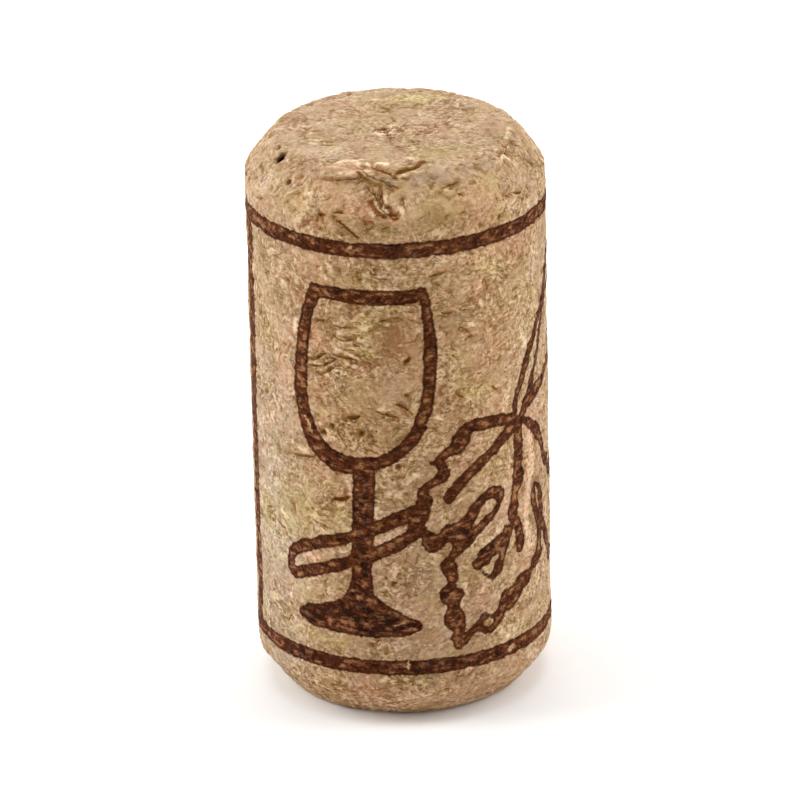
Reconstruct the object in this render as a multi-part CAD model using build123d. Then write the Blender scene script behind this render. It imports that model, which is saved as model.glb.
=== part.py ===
from build123d import *
import os

# Straight wine-bottle cork, moulded from cork granules in one piece.
# Millimetres, +Z up, origin at the centre of the lower end face.

# ---- driving dimensions ----
CORK_D = 22.5        # diameter of the straight wall, uncompressed
CORK_L = 44.0        # length from end face to end face
CHAMFER_R = 2.1      # how far each end chamfer goes in from the wall
CHAMFER_Z = 2.7      # how far each end chamfer goes along the axis
EASE_WALL = 0.6      # radius that softens the edge of wall and chamfer
EASE_FACE = 0.8      # radius that softens the edge of chamfer and end face

R = CORK_D / 2
R_FACE = R - CHAMFER_R

os.makedirs("parts", exist_ok=True)

# ---- half section, turned about Z ----
# end face, chamfer, wall, chamfer, end face, then back along the axis
with BuildSketch(Plane.XZ) as half_section:
    with BuildLine():
        Polyline(
            (0, 0),
            (R_FACE, 0),
            (R, CHAMFER_Z),
            (R, CORK_L - CHAMFER_Z),
            (R_FACE, CORK_L),
            (0, CORK_L),
            close=True,
        )
    make_face()
    # the outer corners are eased, as on corks tumbled after they are ground
    wall_corners = [v for v in half_section.vertices() if abs(abs(v.X) - R) < 1e-6]
    fillet(wall_corners, radius=EASE_WALL)
    face_corners = [v for v in half_section.vertices() if abs(abs(v.X) - R_FACE) < 1e-6]
    fillet(face_corners, radius=EASE_FACE)

with BuildPart() as cork_stopper:
    add(half_section.sketch)
    revolve(axis=Axis.Z, revolution_arc=360)

solid = cork_stopper.part
solid.label = "cork_stopper"
export_step(solid, "parts/cork_stopper.step")

box = solid.bounding_box()
print("cork_stopper volume mm3", round(solid.volume, 1))
print("box", box.min, box.max)
for face in solid.faces():
    b = face.bounding_box()
    print(face.geom_type, round(b.min.Z, 3), round(b.max.Z, 3), round(face.area, 2))
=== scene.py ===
# Looks of an agglomerated-cork bottle stopper: one moulded piece, 22.5 x 44 mm, with a
# one-colour print round its side. Metres in Blender; the shape code below works in mm.
import math

import bpy
import numpy as np
from mathutils import Matrix, Vector


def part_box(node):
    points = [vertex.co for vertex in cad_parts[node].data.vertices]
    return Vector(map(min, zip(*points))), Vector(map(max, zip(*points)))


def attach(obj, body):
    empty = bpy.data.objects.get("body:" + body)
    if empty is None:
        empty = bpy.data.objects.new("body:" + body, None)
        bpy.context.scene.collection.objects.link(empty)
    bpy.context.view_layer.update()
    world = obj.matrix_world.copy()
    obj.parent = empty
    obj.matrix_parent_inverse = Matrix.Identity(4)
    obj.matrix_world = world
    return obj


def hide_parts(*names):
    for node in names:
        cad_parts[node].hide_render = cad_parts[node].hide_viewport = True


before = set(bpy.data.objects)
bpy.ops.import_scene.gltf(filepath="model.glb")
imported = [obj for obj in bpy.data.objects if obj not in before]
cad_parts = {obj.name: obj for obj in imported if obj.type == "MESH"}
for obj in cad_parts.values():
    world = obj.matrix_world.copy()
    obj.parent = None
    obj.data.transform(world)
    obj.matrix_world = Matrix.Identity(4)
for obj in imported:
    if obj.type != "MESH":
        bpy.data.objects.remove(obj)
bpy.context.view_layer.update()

MM = 0.001
NODE = "cork_stopper"
lo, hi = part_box(NODE)
R = (hi.x - lo.x) / 2 / MM            # wall radius
L = (hi.z - lo.z) / MM                # length
CH_R, CH_Z = 2.1, 2.7                 # end chamfer, in from the wall and along the axis
EASE_WALL, EASE_FACE = 0.6, 0.8       # softened edges


# ------------------------------------------------------------------ profile
def eased(path, radii, step):
    """Points along a polyline whose inner corners are rounded, about step apart."""
    out = [np.array(path[0], float)]
    pieces = []
    start = np.array(path[0], float)
    for i in range(1, len(path) - 1):
        a, b, c = (np.array(p, float) for p in path[i - 1:i + 2])
        u, v = (b - a) / np.linalg.norm(b - a), (c - b) / np.linalg.norm(c - b)
        turn = math.acos(float(np.clip(u @ v, -1, 1)))
        t = radii[i - 1] * math.tan(turn / 2)
        p, q = b - u * t, b + v * t
        pieces.append(("line", start, p))
        side = u[0] * v[1] - u[1] * v[0]
        n = np.array([-u[1], u[0]]) * math.copysign(1, side)
        pieces.append(("arc", p, n, u, turn, radii[i - 1]))
        start = q
    pieces.append(("line", start, np.array(path[-1], float)))
    for piece in pieces:
        if piece[0] == "line":
            a, b = piece[1], piece[2]
            k = max(1, round(np.linalg.norm(b - a) / step))
            out += [a + (b - a) * j / k for j in range(1, k + 1)]
        else:
            _, p, n, u, turn, r = piece
            k = max(3, round(turn * r / step))
            c = p + n * r
            out += [c - n * r * math.cos(turn * j / k) + u * r * math.sin(turn * j / k)
                    for j in range(1, k + 1)]
    return np.array(out)


N_AROUND = 360                        # columns round the wall
STEP = 0.2035                         # row pitch
RF = R - CH_R
rim_r = RF - EASE_FACE * math.tan(math.atan2(CH_Z, CH_R) / 2) - 0.05
profile = eased([(rim_r, 0), (RF, 0), (R, CH_Z), (R, L - CH_Z), (RF, L), (rim_r, L)],
                [EASE_FACE, EASE_WALL, EASE_WALL, EASE_FACE], STEP)
arc = np.concatenate([[0], np.cumsum(np.linalg.norm(np.diff(profile, axis=0), axis=1))])
rows = len(profile)
tangent = np.gradient(profile, arc, axis=0)
pn = np.stack([tangent[:, 1], -tangent[:, 0]], 1)
pn /= np.linalg.norm(pn, axis=1)[:, None]
pn[0], pn[-1] = (0, -1), (0, 1)

# ------------------------------------------------------------------ mesh
half_cell = math.pi / N_AROUND
theta = np.arange(N_AROUND) * 2 * math.pi / N_AROUND - math.pi   # 0 faces -Y, the seam is at the back
ring_dir = np.stack([np.sin(theta), -np.cos(theta)], 1)
wall_xyz = np.concatenate([ring_dir[None] * profile[:, :1, None],
                           np.broadcast_to(profile[:, 1][:, None, None], (rows, N_AROUND, 1))], 2).reshape(-1, 3)
wall_n = np.concatenate([ring_dir[None] * pn[:, :1, None],
                         np.broadcast_to(pn[:, 1][:, None, None], (rows, N_AROUND, 1))], 2).reshape(-1, 3)


def disc_grid(n):
    """n x n square grid mapped to the unit disc, evenly enough, its rim at equal angles."""
    g = np.linspace(-1, 1, n + 1)
    a, b = np.meshgrid(g, g, indexing="ij")
    m = np.maximum(np.abs(a), np.abs(b))
    with np.errstate(divide="ignore", invalid="ignore"):
        ang = np.where(np.abs(a) >= np.abs(b),
                       np.where(a >= 0, 0, math.pi) + (math.pi / 4) * np.where(a != 0, b / a, 0),
                       np.where(b >= 0, math.pi / 2, -math.pi / 2) - (math.pi / 4) * np.where(b != 0, a / b, 0))
    ring = np.stack([m * np.cos(ang), m * np.sin(ang)], -1)
    # the middle keeps more of the square grid, so that the diagonals don't pinch
    square = np.stack([a, b], -1) * 0.86
    w = (m ** 2)[..., None]
    return ring * w + square * (1 - w), m


NG = N_AROUND // 4
grid, grid_m = disc_grid(NG)
disc_xy = grid.reshape(-1, 2) * rim_r
inner = (grid_m.reshape(-1) < 1 - 1e-9)
inner_index = np.full(len(disc_xy), -1)
n_wall = len(wall_xyz)
verts, normals = [wall_xyz], [wall_n]
lookup = []
base = n_wall
for z, nz, row in ((0.0, -1.0, 0), (L, 1.0, rows - 1)):
    idx = np.full(len(disc_xy), -1)
    idx[inner] = base + np.arange(inner.sum())
    ang = np.arctan2(disc_xy[:, 0], -disc_xy[:, 1])
    col = np.round((ang + math.pi) / (2 * math.pi / N_AROUND)).astype(int) % N_AROUND
    idx[~inner] = row * N_AROUND + col[~inner]
    p = disc_xy[inner]
    verts.append(np.column_stack([p, np.full(len(p), z)]))
    normals.append(np.tile([0, 0, nz], (len(p), 1)))
    lookup.append(idx.reshape(NG + 1, NG + 1))
    base += len(p)
rest = np.concatenate(verts)
normal = np.concatenate(normals)

i, j = np.meshgrid(np.arange(rows - 1), np.arange(N_AROUND), indexing="ij")
j2 = (j + 1) % N_AROUND
wall_quads = np.stack([i * N_AROUND + j, i * N_AROUND + j2, (i + 1) * N_AROUND + j2, (i + 1) * N_AROUND + j], -1).reshape(-1, 4)
quads = [wall_quads]
for k, idx in enumerate(lookup):
    a, b, c, d = idx[:-1, :-1], idx[1:, :-1], idx[1:, 1:], idx[:-1, 1:]
    q = np.stack([a, b, c, d], -1).reshape(-1, 4)
    quads.append(q if k == 1 else q[:, ::-1])
quads = np.concatenate(quads)
n_wall_quads = len(wall_quads)

# flat layout of the whole skin: the side unrolled, and the two end faces beside each other under it
SHEET = 2 * math.pi * R + 1.6
arc_len = arc[-1]
uv = np.zeros((len(quads), 4, 2))
ju = np.stack([j, j + 1, j + 1, j], -1).reshape(-1, 4) / N_AROUND * 2 * math.pi * R
iv = np.stack([arc[i], arc[i], arc[i + 1], arc[i + 1]], -1).reshape(-1, 4)
uv[:n_wall_quads, :, 0] = (0.8 + ju) / SHEET
uv[:n_wall_quads, :, 1] = (SHEET - 0.8 - arc_len + iv) / SHEET
k0 = n_wall_quads
for k in range(2):
    q = quads[k0:k0 + NG * NG]
    c = np.array([rim_r + 1.2 + k * (2 * rim_r + 1.6), rim_r + 1.0])
    xy = rest[q][:, :, :2].copy()
    if k == 0:
        xy[..., 0] *= -1
    uv[k0:k0 + NG * NG] = (xy + c) / SHEET
    k0 += NG * NG


def mesh_from(name, co, faces, uvs):
    me = bpy.data.meshes.new(name)
    me.vertices.add(len(co))
    me.vertices.foreach_set("co", co.astype(np.float32).ravel())
    me.loops.add(faces.size)
    me.loops.foreach_set("vertex_index", faces.astype(np.int32).ravel())
    me.polygons.add(len(faces))
    me.polygons.foreach_set("loop_start", np.arange(0, faces.size, 4, dtype=np.int32))
    me.update(calc_edges=True)
    me.polygons.foreach_set("use_smooth", np.ones(len(faces), bool))
    layer = me.uv_layers.new(name="OFBake")
    layer.data.foreach_set("uv", uvs.astype(np.float32).ravel())
    me.validate()
    return me


def put_attribute(me, name, values):
    values = np.asarray(values, np.float32)
    kind = "FLOAT" if values.ndim == 1 else "FLOAT_VECTOR"
    at = me.attributes.new(name, kind, "POINT")
    at.data.foreach_set("value" if values.ndim == 1 else "vector", values.ravel())


def get_attribute(me, name):
    at = me.attributes[name]
    if at.data_type == "FLOAT_VECTOR":
        out = np.zeros(len(at.data) * 3, np.float32)
        at.data.foreach_get("vector", out)
        return out.reshape(-1, 3)
    out = np.zeros(len(at.data), np.float32)
    at.data.foreach_get("value", out)
    return out


# ------------------------------------------------------------------ the print
# Strokes as (x along the wall from the middle of the front, z up from the base, half width), mm.
def smooth(points, per=5):
    """Catmull-Rom through the points."""
    p = np.array(points, float)
    if len(p) < 3:
        return p
    q = np.vstack([2 * p[0] - p[1], p, 2 * p[-1] - p[-2]])
    t = np.linspace(0, 1, per, endpoint=False)[:, None]
    out = []
    for a, b, c, d in zip(q[:-3], q[1:-2], q[2:-1], q[3:]):
        out.append(0.5 * (2 * b + (c - a) * t + (2 * a - 5 * b + 4 * c - d) * t ** 2 + (3 * b - a - 3 * c + d) * t ** 3))
    return np.vstack(out + [p[-1:]])


GLASS_BOWL = [(-6.5, 35.2, .52), (-6.92, 34.0, .55), (-7.34, 33.0, .55), (-7.56, 32.0, .56), (-7.72, 31.0, .58),
              (-7.86, 30.0, .60), (-7.97, 29.0, .62), (-8.06, 28.0, .64), (-8.09, 27.0, .66), (-8.02, 26.0, .67),
              (-7.80, 25.0, .68), (-7.48, 24.0, .72), (-6.95, 23.0, .77), (-6.2, 22.2, .80), (-5.3, 21.6, .84),
              (-4.3, 21.36, .80), (-3.2, 21.5, .62), (-2.0, 21.68, .53), (-1.05, 22.03, .52), (-.2, 22.6, .52),
              (.52, 23.25, .53), (1.12, 24.05, .55), (1.55, 25.0, .56), (1.93, 26.0, .54), (2.12, 27.0, .52),
              (2.22, 28.0, .52), (2.29, 29.0, .52), (2.32, 30.0, .52), (2.32, 31.0, .52), (2.3, 32.0, .50),
              (2.24, 33.0, .46), (2.14, 34.0, .43), (1.95, 34.9, .42), (1.72, 35.5, .40)]
GLASS_RIM = [(-6.55, 35.25, .45), (-5.8, 35.14, .58), (-4.0, 35.1, .60), (-2.0, 35.08, .62), (0.0, 35.1, .60),
             (1.1, 35.16, .55), (1.7, 35.45, .40)]
RIBBON_TOP = [(-9.65, 12.3, .45), (-9.45, 12.95, .48), (-8.87, 13.5, .50), (-7.8, 14.05, .50), (-6.5, 14.6, .52),
              (-5.0, 15.1, .52), (-4.1, 15.45, .50), (-3.0, 15.97, .52), (-2.0, 16.43, .56), (-1.0, 16.84, .60),
              (0.0, 17.28, .63), (.84, 17.6, .64), (1.5, 18.0, .60)]
RIBBON_LOW = [(-9.65, 12.3, .45), (-9.6, 11.75, .48), (-8.97, 11.47, .50), (-8.0, 11.85, .52), (-7.0, 12.22, .52),
              (-6.0, 12.64, .50), (-5.0, 13.07, .50), (-4.17, 13.4, .48), (-3.2, 13.8, .54), (-2.0, 14.35, .58),
              (-1.0, 14.84, .58), (0.0, 15.33, .56), (.68, 15.78, .54), (1.1, 16.3, .50)]
LEAF_EDGE_A = [(10, 23.27, .42), (8.35, 23.83, .52), (6.91, 23.98, .56), (6.02, 24.06, .56), (5.27, 23.95, .50),
               (4.85, 23.54, .67), (4.57, 22.99, .77), (4.22, 22.55, .56), (3.63, 22.27, .39), (3.14, 22, .39),
               (2.86, 21.64, .43), (3.08, 21.12, .42), (3.17, 20.62, .51), (2.84, 20.22, .49), (2.3, 19.93, .38),
               (1.72, 19.54, .37), (1.46, 19.16, .39), (1.70, 18.6, .62), (1.55, 18.05, .70), (1.36, 17.5, .70),
               (1.14, 16.95, .64), (.9, 16.42, .56)]
LEAF_EDGE_B = [(1.2, 16.4, .46), (1.66, 15.91, .43), (1.91, 15.37, .52), (2.09, 14.95, .51)]
LEAF_EDGE_E = [(12.72, 11.38, .55), (12.98, 12.06, .48), (13.01, 13, .43), (12.8, 13.99, .43),
               (12.46, 14.96, .43), (12.23, 15.92, .43), (12.33, 16.61, .39), (12.79, 16.92, .19), (13.32, 16.2, .36),
               (13.5, 15.26, .39), (13.47, 14.24, .43), (13.18, 13.54, .43)]
MAIN_VEIN = [(10.18, 23.11, .53), (10.17, 22.3, .53), (10.09, 21.52, .56), (10.13, 20.69, .53), (10.06, 19.91, .53),
             (9.98, 19.32, .52), (10.12, 18.66, .66), (10.05, 18.08, .65), (9.8, 17.55, .52), (9.64, 17, .51),
             (9.51, 16.43, .54), (9.38, 15.86, .55), (9.49, 15.29, .50), (9.83, 14.88, .43), (10.06, 14.3, .50),
             (10.17, 13.73, .52), (10.22, 13.09, .51), (10.15, 12.62, .36)]
LEAF_BARB = [(2.75, 21.65, .24), (2.29, 21.55, .20), (2.05, 21.72, .13)]
VEIN_1 = [(9.7, 23.04, .59), (9.02, 22.7, .56), (8.32, 22.28, .52), (7.67, 21.83, .50), (6.95, 21.35, .49),
          (6.27, 20.89, .50), (5.61, 20.44, .51), (4.97, 19.97, .50), (4.35, 19.45, .49), (3.86, 18.97, .50),
          (3.58, 18.53, .46)]
LEAF_EDGE_F = [(10.19, 23.23, .33), (11.16, 22.73, .34), (12.18, 21.98, .45), (13.01, 21.2, .56), (13.62, 20.37, .44),
               (14.01, 19.55, .40), (14.31, 18.73, .36),
               (14.75, 18.1, .44), (15.45, 18.0, .50), (15.55, 17.2, .36), (16.1, 16.75, .46), (16.95, 16.75, .56),
               (17.0, 15.9, .38), (17.35, 15.2, .48), (18.1, 14.85, .58), (17.95, 13.95, .38), (18.1, 13.1, .52),
               (18.55, 12.3, .60), (18.0, 11.6, .40), (17.7, 10.8, .50), (17.75, 9.9, .60), (17.0, 9.75, .42),
               (16.35, 10.1, .46), (15.75, 9.85, .58), (15.35, 10.5, .42), (14.95, 11.25, .46), (14.45, 11.9, .56),
               (14.2, 12.65, .42), (13.75, 13.3, .44), (13.25, 13.7, .42)]
STALK_A = [(9.72, 23.88, .34), (9.85, 24.56, .37), (10.1, 25.2, .39), (10.43, 25.85, .40), (10.77, 26.53, .41),
           (11.13, 27.21, .42), (11.54, 27.86, .42), (11.94, 28.51, .42), (12.37, 29.11, .42), (12.88, 29.75, .39),
           (13.45, 30.32, .39), (14, 30.91, .39), (14.42, 31.42, .39),
           (15.0, 32.5, .39), (15.6, 33.5, .39), (16.4, 34.6, .39), (17.1, 34.5, .39), (17.3, 33.5, .39)]
STALK_B = [(10.77, 23.5, .46), (11.12, 24.02, .46), (11.5, 24.56, .46), (11.86, 25.23, .39), (12.2, 25.99, .39),
           (12.56, 26.65, .39), (12.95, 27.42, .39), (13.33, 28.24, .39), (13.69, 29.02, .39), (14.08, 29.75, .34),
           (14.9, 31.0, .39), (15.8, 32.0, .39), (16.6, 32.8, .39), (17.3, 33.5, .39)]
TENDRIL = [(11.2, 24.07, .44), (11.8, 24.37, .59), (12.55, 24.64, .62), (13.33, 24.85, .55), (14.03, 25.08, .49),
           (14.59, 25.33, .41),
           (15.6, 25.9, .41), (16.8, 26.4, .40), (17.6, 27.2, .36), (17.4, 28.1, .32), (16.8, 28.1, .29)]
FRAME_LEFT = [(-15.2, 5.3, .88), (-15.2, 15.0, .82), (-15.2, 27.0, .88), (-15.2, 38.35, .88)]
FRAME_RIGHT = [(20.6, 5.3, .86), (20.6, 15.0, .90), (20.6, 28.0, .84), (20.6, 38.35, .86)]
STROKES = [GLASS_BOWL, GLASS_RIM, RIBBON_TOP, RIBBON_LOW, LEAF_EDGE_A, LEAF_EDGE_B, LEAF_EDGE_E, MAIN_VEIN,
           LEAF_BARB, VEIN_1, LEAF_EDGE_F, STALK_A, STALK_B, TENDRIL, FRAME_LEFT, FRAME_RIGHT]
# the leaf's bold parts, as outlines: its beaded tip, the loop and the small bend inside it, and the blade with its ring
BEADS = [(3.35, 13.83), (2.99, 13.57), (2.74, 13.09), (2.85, 12.69), (3.06, 12.32), (3.2, 11.95), (3.22, 11.61),
         (3.01, 11.45), (2.78, 11.16), (2.66, 10.7), (2.81, 10.28), (3, 9.93), (3.19, 9.59), (3.09, 9.32),
         (2.97, 8.95), (2.9, 8.48), (2.97, 8.06), (3.29, 7.74), (3.63, 7.58), (3.67, 7.33), (3.46, 7.15),
         (3.29, 6.98), (3.58, 6.74), (3.69, 6.31), (4, 5.91), (4.29, 5.95), (4.55, 6.11), (4.86, 6.3), (5.14, 6.58),
         (5.39, 6.8), (5.31, 7.12), (5.05, 7.22), (4.79, 7.23), (4.69, 7.43), (4.79, 7.71), (4.84, 8.13),
         (4.74, 8.67), (4.51, 9.13), (4.28, 9.43), (4.35, 9.76), (4.56, 10.18), (4.69, 10.5), (4.57, 10.85),
         (4.27, 11.01), (4.06, 11.23), (4.03, 11.49), (4.14, 11.79), (4.21, 12.12), (4.13, 12.48), (4.25, 12.8),
         (4.09, 13.17), (3.9, 13.63), (3.64, 13.93)]
LOOP = [(1.15, 16.7), (1.69, 16.4), (2.15, 16.03), (2.48, 15.79), (2.8, 15.85), (2.92, 16.17), (3.28, 16.41),
        (3.85, 16.48), (4.27, 16.56), (4.61, 16.81), (5, 17.24), (5.58, 17.86), (6.11, 18.17), (6.48, 18.43),
        (6.91, 18.7), (7.42, 18.74), (8.1, 18.53), (8.52, 18.13), (8.58, 17.68), (8.4, 17.32), (8.12, 17),
        (7.97, 16.69), (7.8, 16.38), (7.43, 16.09), (7.15, 15.83), (6.83, 15.66), (6.45, 15.34), (5.98, 15.04),
        (5.53, 14.64), (5.08, 14.23), (4.64, 13.9), (4.15, 13.65), (3.78, 13.55), (3.39, 13.72), (3.53, 14.1),
        (3.8, 14.4), (3.67, 14.74), (3.41, 14.87), (3.07, 14.64), (2.66, 14.4), (2.23, 14.25), (1.88, 14.24),
        (1.58, 14.52), (1.43, 14.89), (1.37, 15.24), (1.41, 15.57), (1.13, 15.85), (0.9, 16.03)]
LOOP_GAP = [(5.41, 15.79), (5.59, 16.11), (5.88, 16.46), (6.12, 16.84), (6.39, 17.23), (6.71, 17.53), (7.16, 17.66),
            (7.63, 17.41), (7.77, 17.06), (7.4, 16.86), (7.01, 16.72), (6.68, 16.51), (6.32, 16.21), (5.93, 15.96)]
SMALL_U = [(8.5, 15.17), (8.29, 14.9), (8.22, 14.65), (7.76, 14.62), (7.38, 14.47), (6.96, 14.23), (6.42, 13.9),
           (5.92, 13.67), (5.81, 13.29), (5.46, 12.95), (5.42, 12.62), (5.59, 12.33), (5.97, 12.11), (6.2, 11.72),
           (6.6, 11.4), (6.96, 11.06), (7.17, 10.88), (7.47, 11.01), (7.95, 11.29), (8.27, 11.64), (8.32, 12.07),
           (8.53, 12.43), (8.67, 12.89), (8.85, 13.34), (9, 13.81), (9.17, 14.22), (9.4, 14.52), (9.11, 14.96)]
U_GAP = [(7.75, 12.97), (7.37, 12.91), (7.09, 12.71), (6.93, 12.43), (6.51, 12.37), (6.26, 12.22), (6.39, 11.88),
         (6.78, 11.63), (7.11, 11.74), (7.24, 12.13), (7.42, 12.39), (7.67, 12.62)]
BLADE = [(13.71, 11.57), (13.11, 11.42), (12.23, 11.36), (11.58, 10.94), (11.39, 10.51), (10.8, 10.55),
         (10.12, 10.55), (9.61, 10.24), (9.25, 9.93), (8.35, 9.81), (8.02, 9.57), (7.81, 9.05), (7.61, 8.53),
         (7.29, 8.42), (6.97, 8.22), (6.55, 8.55), (6.26, 8.63), (5.96, 8.38), (5.77, 8.15), (5.41, 7.9),
         (5.07, 7.56), (4.94, 7.21), (4.87, 6.92), (5.09, 6.68), (5.43, 6.79), (5.61, 7.04), (5.97, 6.98),
         (6.41, 6.69), (6.96, 6.71), (7.38, 6.94), (7.8, 7.33), (8.18, 7.64), (8.38, 7.99), (8.71, 7.96), (9, 7.95),
         (9.48, 8.12), (9.85, 8.43), (10.22, 8.88), (10.49, 9.2), (11.06, 9.24), (11.55, 9.49), (11.72, 9.85),
         (11.96, 10.17), (12.45, 10.32), (12.96, 10.53), (13.36, 10.88), (13.69, 11.17)]
RING_HOLE = [(6.35, 7.45), (6.26, 7.73), (6.52, 7.87), (6.93, 7.87), (7.22, 7.7), (7.07, 7.49), (6.74, 7.29)]
SHAPES = [(BEADS, []), (LOOP, [LOOP_GAP]), (SMALL_U, [U_GAP]), (BLADE, [RING_HOLE])]
STEM_AND_FOOT = [(-3.74, 21.4), (-3.76, 20), (-3.87, 18), (-3.96, 16.5), (-3.99, 15), (-3.97, 14), (-3.98, 13),
                 (-4.02, 12), (-4.2, 11.36), (-4.45, 10.9), (-4.8, 10.35), (-5.3, 10.0), (-6.0, 9.8), (-7.0, 9.42),
                 (-8.0, 9.2), (-8.6, 8.88), (-8.95, 8.3), (-8.75, 7.92), (-8.0, 7.63), (-7.0, 7.47), (-5.0, 7.36),
                 (-3.0, 7.3), (-2.0, 7.3), (-.5, 7.4), (.52, 7.63), (1.16, 7.9), (1.45, 8.22), (1.16, 8.72),
                 (.2, 9.17), (-.4, 9.6), (-1.2, 10.03), (-1.82, 10.5), (-2.22, 11.0), (-2.4, 11.7), (-2.4, 12.5),
                 (-2.32, 14), (-2.22, 15), (-2.15, 16), (-2.09, 18), (-1.94, 20), (-1.91, 21.4)]
BANDS = [(38.2, 39.45), (4.22, 5.47)]


def stroke_distance(x, z, points):
    """Distance to a stroke's edge, below zero inside it."""
    d = np.full(len(x), 1e3, np.float32)
    p = smooth(points)
    box = (x > p[:, 0].min() - 2) & (x < p[:, 0].max() + 2) & (z > p[:, 1].min() - 2) & (z < p[:, 1].max() + 2)
    xs, zs = x[box], z[box]
    best = np.full(len(xs), 1e3, np.float32)
    for a, b in zip(p[:-1], p[1:]):
        ab = b[:2] - a[:2]
        t = np.clip(((xs - a[0]) * ab[0] + (zs - a[1]) * ab[1]) / max(float(ab @ ab), 1e-9), 0, 1)
        best = np.minimum(best, np.hypot(xs - a[0] - t * ab[0], zs - a[1] - t * ab[1]) - (a[2] + (b[2] - a[2]) * t))
    d[box] = best
    return d


def polygon_distance(x, z, points):
    p = np.array(points, float)
    q = np.roll(p, -1, 0)
    best = np.full(len(x), 1e3, np.float32)
    inside = np.zeros(len(x), bool)
    for a, b in zip(p, q):
        ab = b - a
        t = np.clip(((x - a[0]) * ab[0] + (z - a[1]) * ab[1]) / max(float(ab @ ab), 1e-9), 0, 1)
        best = np.minimum(best, np.hypot(x - a[0] - t * ab[0], z - a[1] - t * ab[1]))
        crosses = ((a[1] > z) != (b[1] > z)) & (x < (b[0] - a[0]) * (z - a[1]) / ((b[1] - a[1]) or 1e-9) + a[0])
        inside ^= crosses
    return np.where(inside, -best, best)


def outline_distance(x, z, points):
    """The same for a closed outline drawn smoothly through its points."""
    d = np.full(len(x), 1e3, np.float32)
    p = smooth(points + points[:1], 3)[:-1]
    box = (x > p[:, 0].min() - 2) & (x < p[:, 0].max() + 2) & (z > p[:, 1].min() - 2) & (z < p[:, 1].max() + 2)
    d[box] = polygon_distance(x[box], z[box], p)
    return d


vs = R * np.arctan2(rest[:, 0], -rest[:, 1])
vz = rest[:, 2]
on_wall = np.zeros(len(rest), bool)
on_wall[:n_wall] = True
on_side = on_wall & (np.hypot(rest[:, 0], rest[:, 1]) > R - 0.8)
ink = np.full(len(rest), 2.0, np.float32)
x, z = vs[on_side], vz[on_side]
d = np.full(len(x), 2.0, np.float32)
for s in STROKES:
    d = np.minimum(d, stroke_distance(x, z, s))
foot = polygon_distance(x, z, STEM_AND_FOOT)
d = np.minimum(d, foot)
for outline, gaps in SHAPES:
    shape = outline_distance(x, z, outline)
    for gap in gaps:
        shape = np.maximum(shape, -outline_distance(x, z, gap))
    d = np.minimum(d, shape)
for z0, z1 in BANDS:
    d = np.minimum(d, np.maximum(z0 - z, z - z1))
ink[on_side] = d
foot_fill = np.zeros(len(rest), np.float32)
foot_fill[on_side] = np.clip((-foot - 0.22) / 0.25, 0, 1) * np.clip((10.2 - z) / 1.2, 0.6, 1)
foot_fill[on_side] = np.maximum(foot_fill[on_side], 0.5 * np.clip((-outline_distance(x, z, LOOP) - 0.20) / 0.25, 0, 1) * np.clip((6.5 - x) / 2.0, 0, 1))
low_band = np.clip((np.minimum(z - BANDS[1][0], BANDS[1][1] - z) - 0.15) / 0.2, 0, 1) * np.clip((11 - np.abs(x + 0.5)) / 3, 0, 1)
foot_fill[on_side] = np.maximum(foot_fill[on_side], 0.6 * low_band)

# ------------------------------------------------------------------ dents, slits, pits and tones of this cork
def side(s, zz, inset=0.0):
    """A point on the side: s mm round it from the middle of the front, zz mm up."""
    a = s / R
    return ((R - inset) * math.sin(a), -(R - inset) * math.cos(a), zz)


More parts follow.
